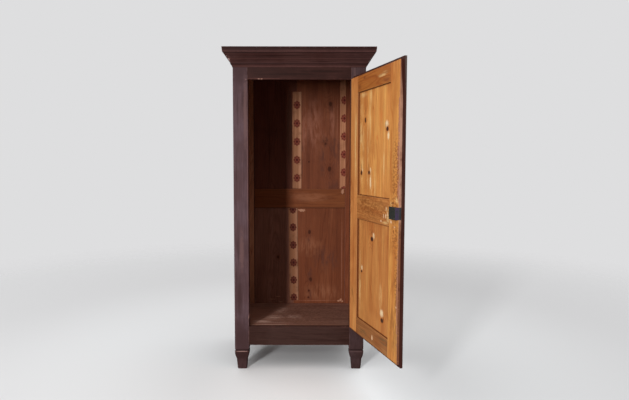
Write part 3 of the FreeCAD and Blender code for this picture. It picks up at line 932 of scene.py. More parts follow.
# ------------------------------------------------------------------ paper and iron
@dataclass(frozen=True)
class FlowerPaper:
    """A traditional border paper: one round rosette after another on a plain strip.

    Attributes:
        name: which of the paper strips it is.
        middle_x, lean: the flowers' line at height 0 and its run sideways for each metre up.
        first, pitch: height of one flower and the distance to the next.
        half_width, half_height: size of a flower.
        ground, stain: colours of the paper; light: a lighter paper colour, for the ribs and,
            towards the strip's right side, as painted light where it comes out of shade.
        flower, petal, core: colours of the print.
        tone: how bright this strip has stayed; the lower strip's low tone is also partly painted
            shade, as it lies half in the key's shadow.
        crown: height above which no flower was printed.
    """

    name: str
    middle_x: float
    lean: float
    first: float
    pitch: float
    half_width: float = mm(24)
    half_height: float = mm(29.5)
    ground: Colour = rgb(142, 95, 68)
    light: Colour = rgb(184, 132, 102)
    stain: Colour = rgb(112, 70, 48)
    flower: Colour = rgb(86, 26, 22)
    petal: Colour = rgb(132, 70, 54)
    core: Colour = rgb(66, 22, 18)
    tone: float = 1.0
    crown: float = mm(2000)

    PETALS = 8.0
    BODY = 0.9
    BODY_EDGE = (0.04, -0.04)
    SCALLOP = 0.08
    VEIN = (-0.35, -0.9)
    VEIN_FOOT = (0.42, 0.55)
    VEIN_TIP = (0.82, 0.72)
    RING = 0.4
    RING_EDGE = (0.1, 0.04)
    CORE_EDGE = (0.3, 0.24)
    RIBS = (0.04, 90.0)
    STAINS = (16.0, 4.0, 0.6)
    FADE = (260.0, 3.0, 0.7)
    LIT = (mm(6), mm(20))
    BORDER = (mm(28), mm(31))
    LINE = mm(26.5)
    LINE_EDGE = (mm(1.3), mm(0.5))

    def rosette(self, graph: Graph, side: Socket, z: Socket) -> tuple[Socket, Socket, Socket]:
        """Masks of the rosette's scalloped body, the light lines in it and its core.

        Args:
            graph: the material's graph.
            side: distance sideways from the flowers' line.
            z: height.

        Returns:
            The three masks.
        """
        across = graph.math("DIVIDE", side, self.half_width)
        turns = graph.math("DIVIDE", graph.minus(z, self.first), self.pitch)
        nearby = graph.minus(turns, graph.math("ROUND", turns))
        up = graph.times(nearby, self.pitch / self.half_height)
        angle = graph.math("ARCTAN2", up, across)
        radius = graph.math("SQRT", graph.plus(graph.times(across, across), graph.times(up, up)))
        lobes = graph.math("COSINE", graph.times(angle, self.PETALS))
        rim = graph.plus(graph.times(lobes, self.SCALLOP), self.BODY)
        body = graph.span(graph.minus(radius, rim), *self.BODY_EDGE)
        veins = graph.times(graph.span(lobes, *self.VEIN), graph.span(radius, *self.VEIN_FOOT))
        veins = graph.times(veins, graph.span(radius, *self.VEIN_TIP))
        off_ring = graph.math("ABSOLUTE", graph.minus(radius, self.RING))
        lines = graph.math("MAXIMUM", veins, graph.span(off_ring, *self.RING_EDGE))
        return body, lines, graph.span(radius, *self.CORE_EDGE)

    def print_strip(self) -> Material:
        """The printed and aged paper.

        Returns:
            The material.
        """
        graph = Graph(f"flowered_paper_{self.name}")
        ribs = graph.streaks(graph.seen, *self.RIBS)
        stains = graph.noise(graph.seen, *self.STAINS)
        fade = graph.noise(graph.seen, *self.FADE)
        x, _, z = graph.split(graph.seen)
        side = graph.minus(x, graph.plus(graph.times(z, self.lean), self.middle_x))
        # Painted light: the paper turns lighter towards its right side, where it comes out of
        # shade.
        colour = graph.tint(self.ground, self.light, side, *self.LIT, 0.75)
        colour = graph.tint(colour, self.light, ribs, 0.45, 0.7, 0.5)
        colour = graph.tint(colour, self.stain, stains, 0.5, 0.75, 0.7)
        edge = graph.math("ABSOLUTE", side)
        colour = graph.tint(colour, self.stain, edge, *self.BORDER, 0.55)
        line = graph.math("ABSOLUTE", graph.minus(edge, self.LINE))
        colour = graph.tint(colour, self.petal, line, *self.LINE_EDGE, 0.35)
        body, veins, core = self.rosette(graph, side, z)
        body = graph.times(body, graph.span(z, self.crown + mm(1), self.crown))
        worn = graph.times(body, graph.span(fade, 0.2, 0.6, 0.6, 0.95))
        colour = graph.mix(worn, colour, self.flower)
        colour = graph.mix(graph.times(graph.times(body, veins), 0.7), colour, self.petal)
        colour = graph.mix(graph.times(graph.times(core, body), 0.8), colour, self.core)
        colour = graph.scaled(colour, self.tone)
        return graph.finish(colour, 0.86, graph.relief(ribs, 0.0002), Specular_IOR_Level=0.12)


@dataclass(frozen=True)
class Iron:
    """Forged iron, black with rust in its pits, or scoured steel.

    Attributes:
        name: the material's name.
        skin: the main colour.
        rust: the colour in the pits.
        bright: the colour where it is handled.
        roughness: of the skin.
        metal: how metallic it is.
    """

    name: str
    skin: Colour = rgb(56, 52, 56)
    rust: Colour = rgb(72, 46, 34)
    bright: Colour = rgb(118, 114, 116)
    roughness: float = 0.5
    metal: float = 0.75

    # Noise as scale, detail and roughness.
    PITS = (380.0, 4.0, 0.6)
    CLOUDS = (55.0, 4.0, 0.6)
    HANDLED = 0.6

    def forge(self, place: Place = Place()) -> Material:
        """The metal.

        Args:
            place: the frame that the pattern is read in.

        Returns:
            The material.
        """
        graph = Graph(self.name, place)
        pits = graph.noise(graph.seen, *self.PITS)
        clouds = graph.noise(graph.seen, *self.CLOUDS)
        colour = graph.tint(self.skin, self.rust, clouds, 0.5, 0.72, 0.7)
        colour = graph.tint(colour, self.rust, pits, 0.62, 0.74, 0.5)
        handled = graph.times(graph.attribute("worn"), self.HANDLED)
        colour = graph.mix(handled, colour, self.bright)
        roughness = graph.span(clouds, 0.3, 0.7, self.roughness - 0.1, self.roughness + 0.15)
        return graph.finish(colour, roughness, graph.relief(pits, 0.0004), Metallic=self.metal)


# ------------------------------------------------------------------ meshes
@dataclass(frozen=True)
class Easing:
    """How a piece's arrises are taken down.

    Attributes:
        radius: of the rounded arris.
        steps: flats that make it round.
        shortest: edges shorter than this stay sharp.
        flat_area: faces larger than this are shaded flat.
    """

    radius: float = mm(1.6)
    steps: int = 4
    shortest: float = mm(14)
    flat_area: float = 1.5e-3

    ARRIS_ANGLE = math.radians(35)
    SMOOTH_ANGLE = math.radians(40)


class Skin:
    """Chooses the material of each face of a piece by the way that the face looks."""

    FACING = 0.7

    def __init__(self, *layers: tuple[Material, Triple | None],
                 above: float = -math.inf, within: float = math.inf) -> None:
        """Set the layers.

        Args:
            layers: (material, direction) pairs; the first needs no direction and is the rest.
            above: height below which every face takes the first.
            within: distance from the middle in X past which every face takes the first.
        """
        self.layers = layers
        self.above = above
        self.within = within

    def index(self, normal: Vector, middle: Vector) -> int:
        """The material's place for a face.

        Args:
            normal: the face's normal, in the piece's frame.
            middle: the face's middle, in the piece's frame.

        Returns:
            The place in the layers.
        """
        if middle.z < self.above or abs(middle.x) > self.within:
            return 0
        for place, (_, direction) in enumerate(self.layers):
            if direction is not None and normal.dot(Vector(direction)) > self.FACING:
                return place
        return 0

    def materials(self) -> list[Material]:
        """The materials in order."""
        return [material for material, _ in self.layers]


class DoorSkin(Skin):
    """Paint outside, edge paint all round, bare wood inside and wood drawn darker on the reveals
    round the panels.
    """

    SLACK = mm(1.5)

    def __init__(self, finishes: tuple[Material, ...], inner: float, entering: Triple,
                 field: float) -> None:
        """Set the four finishes.

        Args:
            finishes: paint, inner wood, edge and reveal, in this order.
            inner: Y of the lip's back; what lies behind it enters the opening.
            entering: half width, lowest and highest Z of the part that enters.
            field: Y halfway through the panels.
        """
        super().__init__(*((finish, None) for finish in finishes))
        self.inner = inner
        self.entering = entering
        self.field = field

    def index(self, normal: Vector, middle: Vector) -> int:
        """Which finish a face takes, from its place.

        Args:
            normal: the face's normal, with the door shut.
            middle: the face's middle, with the door shut.

        Returns:
            The place in the layers.
        """
        half_width, low, high = self.entering
        if normal.y > self.FACING:
            return 1 if middle.y > self.inner + self.SLACK else 2
        if normal.y < -self.FACING:
            return 0
        at_side = abs(normal.x) > self.FACING and abs(middle.x) > half_width - self.SLACK
        between = low + self.SLACK < middle.z < high - self.SLACK
        if at_side or (abs(normal.z) > self.FACING and not between):
            return 2
        return 3 if middle.y > self.field else 0


MERGE = 1e-6
COPLANAR = 0.002


def is_open(tree: BVHTree, face: bmesh.types.BMFace) -> bool:
    """Whether a face looks out of the piece, and not across a groove, mortise or hole."""
    start = face.calc_center_median() + face.normal * 10 * MERGE
    return tree.ray_cast(start, face.normal)[0] is None


def eased_form(node: str, easing: Easing, skin: Skin, place: Place,
               parting: Plane | None = None) -> Form:
    """A copy of a node's shape with its open arrises rounded and its faces sorted.

    Args:
        node: CAD node that is copied.
        easing: how its arrises are taken down.
        skin: sorts the faces.
        place: the frame that the skin is read in.
        parting: point and normal in that frame of a plane that parts the faces it cuts.

    Returns:
        The mesh; its attribute worn is 1 along the arrises.
    """
    form = bmesh.new()
    form.from_mesh(frame["nodes"][node].data)
    bmesh.ops.remove_doubles(form, verts=form.verts, dist=MERGE)
    bmesh.ops.dissolve_limit(form, angle_limit=COPLANAR, use_dissolve_boundaries=False,
                             verts=form.verts, edges=form.edges)
    to_place = place.matrix()
    turn = to_place.to_3x3()
    if parting is not None:
        point, across = (Vector(part) for part in parting)
        bmesh.ops.bisect_plane(form, geom=[*form.verts, *form.edges, *form.faces], dist=MERGE,
                               plane_co=to_place.inverted() @ point,
                               plane_no=turn.inverted() @ across)
    for face in form.faces:
        middle = to_place @ face.calc_center_median()
        face.material_index = skin.index(turn @ face.normal, middle)
    tree = BVHTree.FromBMesh(form)
    form.faces.ensure_lookup_table()
    opened = {face.index for face in form.faces if is_open(tree, face)}
    arrises = [
        edge for edge in form.edges
        if edge.is_manifold and edge.calc_face_angle_signed(0.0) > Easing.ARRIS_ANGLE
        and edge.calc_length() > easing.shortest
        and all(face.index in opened for face in edge.link_faces)
    ]
    worn = form.verts.layers.float.new("worn")
    rounded: set[bmesh.types.BMFace] = set()
    if arrises:
        made = bmesh.ops.bevel(form, geom=arrises, offset=easing.radius, offset_type="OFFSET",
                               segments=easing.steps, profile=0.5, affect="EDGES",
                               clamp_overlap=False, material=-1, loop_slide=True)
        rounded = set(made["faces"])
    for vertex in form.verts:
        crest = bool(vertex.link_faces) and all(face in rounded for face in vertex.link_faces)
        vertex[worn] = 1.0 if crest else 0.0
    for face in form.faces:
        face.smooth = face in rounded or face.calc_area() < easing.flat_area
    for edge in form.edges:
        edge.smooth = not edge.is_manifold or edge.calc_face_angle(0.0) < Easing.SMOOTH_ANGLE
    return form


def make_piece(name: str, form: Form, materials: list[Material]) -> Piece:
    """Put a mesh in the scene as a piece.

    Args:
        name: the piece's name.
        form: its mesh, which is freed.
        materials: in the order of the faces' indices.

    Returns:
        The piece.
    """
    mesh = bpy.data.meshes.new(name)
    form.to_mesh(mesh)
    form.free()
    for material in materials:
        mesh.materials.append(material)
    piece = bpy.data.objects.new(name, mesh)
    bpy.context.scene.collection.objects.link(piece)
    return piece


def join_frame(piece: Piece, body: str, node: str, slot: str) -> None:
    """Let a piece ride on a body and stand for its node.

    Args:
        piece: the piece.
        body: body that it rides on.
        node: CAD node that it stands for.
        slot: not used.
    """
    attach(piece, body)
    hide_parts(node)
    log.info("%s rides on %s: %d faces", piece.name, body, len(piece.data.polygons))


def work_node(node: str, body: str, slot: str, skin: Skin, easing: Easing = Easing(),
              place: Place = Place(), parting: Plane | None = None) -> None:
    """Replace a node by its eased and dressed copy.

    Args:
        node: CAD node.
        body: body that it rides on.
        slot: the record's material slot.
        skin: its materials.
        easing: how its arrises are taken down.
        place: the frame that the skin is read in.
        parting: where eased_form parts long faces.
    """
    form = eased_form(node, easing, skin, place, parting)
    join_frame(make_piece(f"{node}.worked", form, skin.materials()), body, node, slot)


def dress_node(node: str, material: Material) -> None:
    """Give a CAD node that keeps its shape a better material.

    Args:
        node: CAD node.
        material: its material.
    """
    shape = frame["nodes"][node]
    shape.data.materials.clear()
    shape.data.materials.append(material)
    log.info("%s keeps its shape and takes %s", node, material.name)


# ------------------------------------------------------------------ carcass
@dataclass
class Carcass:
    """Posts, rails, sides, back, floor and top.

    Attributes:
        paint: the rails and mouldings.
        post_paint: the posts and side rails, faded, lighter and more purple; that cast is partly
            a painted sheen.
        panel_paint: the side panels.
        stain: the inside.
        floor: the floor boards.
        raw: what is never seen.
        dark_age: how the inside has aged.
    """

    paint: Paint = Paint()
    post_paint: Paint = Paint(ground=rgb(80, 58, 60), faded=rgb(92, 72, 77),
                              deep=rgb(62, 42, 42), under=rgb(108, 80, 78),
                              wood=rgb(150, 118, 110), darker_below=mm(118))
    panel_paint: Paint = Paint(ground=rgb(60, 39, 39), faded=rgb(74, 52, 54),
                               deep=rgb(46, 27, 26))
    stain: Pine = Pine("stained_softwood", early=rgb(118, 66, 43), late=rgb(98, 50, 30),
                       glow=rgb(128, 76, 52), shade=rgb(90, 45, 28), knot=rgb(66, 30, 14),
                       ring_share=0.55, drift_share=0.55, thread_share=0.08, gloss=0.1)
    floor: Pine = Pine("floor_boards", early=rgb(142, 102, 86), late=rgb(122, 82, 66),
                       glow=rgb(158, 118, 102), shade=rgb(104, 66, 52), knot=rgb(40, 24, 18),
                       ring_share=0.5, drift_share=0.6, roughness=0.66, gloss=0.2)
    raw: Pine = Pine("raw_softwood", early=rgb(168, 128, 88), late=rgb(138, 98, 62),
                     glow=rgb(184, 146, 104), shade=rgb(120, 88, 62), knot=rgb(70, 42, 26),
                     roughness=0.75)
    dark_age: Age = Age(pale=rgb(150, 96, 68), halo=rgb(136, 84, 62), chip=rgb(172, 124, 98),
                        grime_and_shade=rgb(48, 24, 16), smear=rgb(84, 48, 38), fleck=rgb(76, 40, 24),
                        arris=rgb(134, 82, 60), rub=0.4)

    BODY = "carcass"
    INWARD = {"left": RIGHTWARD, "right": LEFTWARD}
    # Painted light: the left side's inner faces are drawn lighter, for light bounced in from the
    # open door; the left rear post's front face more so, partly as lighter wood. The right side's
    # tones are only colour.
    WALL_TONES_AND_PAINTED_LIGHT = {"left": (1.6, 1.9, 2.3), "right": (1.1, 1.0, 0.9)}
    POST_TONES = {"left": (2.4, 3.6, 4.6), "right": (1.1, 1.0, 0.9)}
    FOOT = mm(130)

    def build(self) -> None:
        """Work every wooden piece of the carcass."""
        self.posts()
        self.front_rails()
        self.sides()
        self.back()
        self.floor_and_top()
        self.cornice()

    def work(self, board: Board, slot: str, *layers: tuple[Material, Triple | None]) -> None:
        """Work one board."""
        work_node(board.node, self.BODY, slot, Skin(*layers))

    def stained(self, board: Board, bench: Bench = Bench(), tone: Triple = WHOLE,
                **aged: object) -> Material:
        """Stained wood for one piece, with what differs in its ageing."""
        age = replace(self.dark_age, **aged)
        return bare_wood(replace(self.stain, tone=tone), board, bench, age)

    def posts(self) -> None:
        """Corner posts with their feet: stained only between the side panels."""
        # The collar band is partly rubbed paint and partly a painted highlight on the collar's
        # top edge; the groove band is painted shade in the foot's neck groove.
        collar, groove = band(107, 2.4), band(117, 5)
        worn = {
            "front_post_left": Wear(
                chips=on_wall((-292, 312, 2, 12), (-300, 1672, 3, 2), (-333, 108, 36, 2)),
                rubbed=(*on_wall((-292.5, 1180, 4, 420)), collar,
                        *on_wall((-306, 1480, 9, 200), (-330, 700, 12, 120))),
                darkened=(*on_wall((-333, 1735, 70, 120), (-310, 1560, 18, 70),
                                   (-345, 420, 16, 120), (-333, 170, 80, 130)), groove)),
            "front_post_right": Wear(chips=on_wall((291, 965, 2.5, 706)),
                                     rubbed=(*on_wall((310, 1700, 8, 60)), collar),
                                     darkened=(groove,)),
        }
        # Painted sheen: the left post's lighter purple paint partly stands in for a sheen of
        # light from the left; the right post gets this copy without it.
        post_paint_without_sheen = replace(self.post_paint, ground=rgb(62, 43, 42), faded=rgb(74, 55, 56),
                       deep=rgb(50, 32, 31), under=rgb(92, 68, 66),
                       wood=rgb(104, 60, 42), darker_below=0.0)
        # Painted shade: a dark line down the left rear post where it meets the back boards, for
        # the shade in the gap between them.
        benches = {"rear_post_left": Bench(dark=on_wall((-304, 0, 4, 0)))}
        for side in self.INWARD:
            low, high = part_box(f"side_panel_upper_{side}")
            wall = (low.x + high.x) / 2
            for end, tones, looks in (("front", self.WALL_TONES_AND_PAINTED_LIGHT, BACKWARD),
                                      ("rear", self.POST_TONES, FORWARD)):
                node = f"{end}_post_{side}"
                board = Board(node, Grain.UPRIGHT)
                paint = post_paint_without_sheen if node == "front_post_right" else self.post_paint
                coat = paint.coat(board, worn.get(node, Wear()))
                stain = self.stained(board, benches.get(node, Bench()), tones[side])
                skin = Skin((coat, None), (stain, looks), above=self.FOOT, within=abs(wall))
                work_node(node, self.BODY, "oxblood_paint", skin,
                          parting=((wall, 0.0, 0.0), RIGHTWARD))

    def front_rails(self) -> None:
        """The rails over and under the opening."""
        level = Wear(chips=on_wall((-228, 1674, 6, 2.6), (-212, 1673.5, 7, 2.4)),
                     rubbed=on_wall((-200, 1675, 120, 3.4)),
                     darkened=on_wall((-60, 1700, 150, 7), (140, 1716, 120, 8)))
        top = replace(self.paint, ground=rgb(48, 26, 22), faded=rgb(60, 35, 31),
                      deep=rgb(36, 18, 14))
        bottom = replace(self.paint, ground=rgb(54, 33, 28), faded=rgb(64, 43, 38),
                         deep=rgb(44, 24, 20))
        for name, paint, wear in (("top", top, level), ("bottom", bottom, Wear())):
            board = Board(f"front_{name}_rail", Grain.ACROSS)
            self.work(board, "oxblood_paint", (paint.coat(board, wear), None),
                      (self.stained(board), BACKWARD))

    def sides(self) -> None:
        """Side frames and their panels."""
        pieces = [(f"side_{level}_rail", Grain.DEEP, self.post_paint)
                  for level in ("top", "mid", "bottom")]
        pieces += [(f"side_panel_{level}", Grain.UPRIGHT, self.panel_paint)
                   for level in ("upper", "lower")]
        for side, inward in self.INWARD.items():
            for name, grain, paint in pieces:
                board = Board(f"{name}_{side}", grain)
                stain = self.stained(board, tone=self.WALL_TONES_AND_PAINTED_LIGHT[side])
                self.work(board, "oxblood_paint", (paint.coat(board), None), (stain, inward))

    def back(self) -> None:
        """Back frame and boards: stained inside, raw behind."""
        benches = {
            "back_board_upper_right": Bench(
                knots=on_wall((202, 1593, 12, 17), (198, 1164, 14, 20), (170, 1332, 7, 9),
                              (60, 1212, 6, 7)),
                pale=on_wall((30, 1420, 16, 190), (92, 1450, 56, 180), (110, 1390, 60, 46),
                             (216, 1480, 18, 110)),
                halos=on_wall((247, 1470, 2.6, 160)),
                smears=on_wall((16, 1330, 5, 320), (236, 1280, 50, 120), (230, 1056, 60, 36),
                               (150, 1240, 20, 120), (204, 1134, 20, 46), (206, 1570, 18, 34),
                               (168, 1342, 26, 40)),
                flecked=on_wall((170, 1345, 20, 32))),
            # Painted shadow: the wide dark mark at x -68 darkens this board along the key's
            # shadow edge.
            "back_board_upper_left": Bench(dark=on_wall((-205, 1300, 3, 300),
                                                        (-68, 1420, 24, 290))),
            "back_board_lower_left": Bench(
                knots=on_wall((-147, 570, 9, 12)),
                chips=on_wall((-184, 281, 26, 2.2), (-150, 300, 18, 2.0), (-128, 262, 12, 2.0))),
            "back_board_lower_right": Bench(
                knots=on_wall((65, 740, 11, 15), (73, 417, 11, 17), (60, 340, 7, 8),
                              (58, 293, 7, 7)),
                pale=on_wall((66, 640, 90, 60), (150, 330, 120, 60)),
                halos=on_wall((283, 560, 3.4, 330), (120, 272, 150, 2.4)),
                smears=on_wall((180, 560, 90, 80), (64, 700, 22, 50), (70, 450, 20, 50),
                               (64, 320, 20, 50)),
                chips=on_wall((14, 888, 26, 9), (262, 270, 8, 6), (276, 276, 9, 9),
                              (289, 266, 5, 5))),
            "back_mid_rail": Bench(pale=on_wall((70, 975, 130, 34)), dark=(band(904, 2.4),),
                                   chips=on_wall((285, 1014, 9, 17))),
        }
        # Painted shade and light: the upper left board, in the key's shadow, is drawn darker, and
        # the lower left board, in shade, lighter and greyer; the other tones are colour.
        tones = {"back_mid_rail": (1.1, 1.06, 0.78), "back_board_upper_left": (0.66, 0.64, 0.82),
                 "back_board_upper_right": (1.06, 1.02, 1.0),
                 "back_board_lower_left": (1.15, 1.6, 2.4),
                 "back_board_lower_right": (0.96, 0.88, 0.78)}
        # Painted shadow: the upper left board's colour for dark marks is warmed to suit the
        # shadow edge painted on it.
        aged = {"back_board_upper_left": {"grime_and_shade": rgb(54, 23, 6)},
                "back_board_upper_right": {"play": 0.62, "pale": rgb(148, 95, 75)}}
        boards = [Board(f"back_{level}_rail", Grain.ACROSS) for level in ("top", "mid", "bottom")]
        boards += [Board(f"back_board_{level}_{side}", Grain.UPRIGHT)
                   for level in ("upper", "lower") for side in ("left", "right")]
        for board in boards:
            stain = self.stained(board, benches.get(board.node, Bench()),
                                 tones.get(board.node, WHOLE), **aged.get(board.node, {}))
            self.work(board, "stained_softwood", (stain, None),
                      (bare_wood(self.raw, board), BACKWARD))

    def floor_and_top(self) -> None:
        """Floor boards with their cleats, and the boards over the cornice."""
        # The pale patches are partly wear and partly painted light: they brighten the wedge that
        # the key lights beside its shadow edge.
        worn = Bench(pale=on_floor((-225, -176, 60, 30), (-165, -90, 70, 46), (-122, 70, 46, 64),
                                   (-30, -80, 50, 40)),
                     chips=on_floor((-170, -236, 100, 3.4), (-166, -193, 104, 2.6)),
                     flecked=on_floor((60, 0, 260, 260)))
        age = replace(self.dark_age, pale=rgb(190, 154, 138), chip=rgb(196, 160, 146),
                      fleck=rgb(96, 62, 50), rub=0.1, play=0.9)
        knotted = Bench(knots=on_floor((-120, -160, 12, 9), (210, 120, 10, 8)))
        for name, ends, grain, pine, bench, aged, slot in (
                ("floor_board", (1, 2, 3), Grain.ACROSS, self.floor, worn, age, "floor_boards"),
                ("floor_cleat", ("left", "right"), Grain.DEEP, self.raw, Bench(), Age(),
                 "raw_softwood"),
                ("top_board", (1, 2), Grain.ACROSS, self.raw, knotted, Age(), "raw_softwood")):
            for end in ends:
                board = Board(f"{name}_{end}", grain)
                self.work(board, slot, (bare_wood(pine, board, bench, aged), None))

    def cornice(self) -> None:
        """Three mitred lengths of moulding, rubbed along their arrises and at the mitre."""
        fine = Easing(radius=mm(0.9), steps=2, shortest=mm(30), flat_area=4e-3)
        paint = replace(self.paint, ground=rgb(60, 35, 32), faded=rgb(72, 46, 43),
                        deep=rgb(38, 19, 17), under=rgb(92, 60, 56), wood=rgb(184, 150, 146))
        worn = Wear(chips=(mark((-394, -299, 1775), (6, 14, 9)),
                           mark((-403, -308, 1796), (4, 9, 5))),
                    rubbed=(band(1816, 2.6), band(1783, 2.4), band(1744, 2.6),
                            mark((-396, -300, 1780), (15, 22, 26))),
                    darkened=(band(1834, 10), band(1810, 2.6), band(1757, 3)))
        for name, grain in (("front", Grain.ACROSS), ("left", Grain.DEEP),
                            ("right", Grain.DEEP)):
            board = Board(f"cornice_{name}", grain)
            work_node(board.node, self.BODY, "oxblood_paint",
                      Skin((paint.coat(board, worn), None)), fine)


# ------------------------------------------------------------------ papers
@dataclass
class Papers:
    """Strips of border paper pasted over the joints of the back.

    Attributes:
        thickness: of the paper.
        lift: how far it stands off where the paste has let go.
        tear: how uneven its cut edges are.
        cell: size of the grid that it is bent from.
    """

    thickness: float = mm(0.35)
    lift: float = mm(0.5)
    tear: float = mm(1.2)
    cell: float = mm(7)

    PAPERS = (
        FlowerPaper("upper", mm(-19.5), 0.0, mm(1586.6), mm(120.7), tone=0.93),
        # The lower strip's low tone is partly painted shade: it lies half in the key's shadow.
        FlowerPaper("lower", mm(-36.5), -0.0111, mm(892), mm(119.8), ground=rgb(172, 114, 82),
                    tone=0.62),
        FlowerPaper("corner", mm(295), 0.0, mm(1618), mm(119.0), tone=1.35, crown=mm(1690)),
    )
    TURN_LEAST = mm(2)
    PASTE = mm(0.1)
    RIM = 0.02
    END = 0.001
    WAVE = (3, 14, 40)
    RAGGED = (40, 60, 70)

    def build(self) -> None:
        """Lay the three strips."""
        for paper in self.PAPERS:
            self.strip(paper)

    def strip(self, paper: FlowerPaper) -> None:
        """One strip, bent from a grid; what lies past the boards' edge turns the corner.

        Args:
            paper: its print.
        """
        node = f"paper_strip_{paper.name}"
        low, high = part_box(node)
        height = high.z - low.z
        shift = abs(paper.lean * height)
        width = high.x - low.x - shift
        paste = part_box("back_board_upper_right")[0].y
        turned = paste - low.y if paste - low.y > self.TURN_LEAST else 0.0
        full = width + turned
        form = bmesh.new()
        bmesh.ops.create_grid(form, x_segments=max(6, round(full / self.cell)),
                              y_segments=round(height / self.cell), size=0.5)
        for vertex in form.verts:
            u, v = vertex.co.x + 0.5, vertex.co.y + 0.5
            z = low.z + v * height
            wave = self.rough(self.WAVE, u, z, low.x, 0.0)
            ragged = self.rough(self.RAGGED, u, z, low.x, 5.0)
            if min(v, 1 - v) < self.END:
                z += self.tear * (ragged - 1.0 if v > 0.5 else ragged + 1.0)
            base = low.x + (shift if paper.lean < 0 else 0.0) + paper.lean * (z - low.z)
            stand = self.lift * max(0.0, wave) + self.PASTE
            along = u * full
            if along > width:
                vertex.co = (low.x + width - self.PASTE, paste - (along - width), z)
                continue
            if min(u, 1 - u) < self.RIM and not turned:
                base += self.tear * ragged
            vertex.co = (base + along, paste - stand, z)
        bmesh.ops.recalc_face_normals(form, faces=form.faces)
        if sum(face.normal.y for face in form.faces) > 0:
            bmesh.ops.reverse_faces(form, faces=form.faces)
        for face in form.faces:
            face.smooth = True
        piece = make_piece(f"{node}.pasted", form, [paper.print_strip()])
        sheet = piece.modifiers.new("thickness", "SOLIDIFY")
        sheet.thickness = self.thickness
        sheet.offset = -1.0
        join_frame(piece, "carcass", node, "flowered_paper")

    @staticmethod
    def rough(scales: Triple, u: float, z: float, x: float, shift: float) -> float:
        """Soft noise over a strip; each strip has its own."""
        return noise.noise(Vector((u * scales[0], z * scales[1], x * scales[2] + shift)))


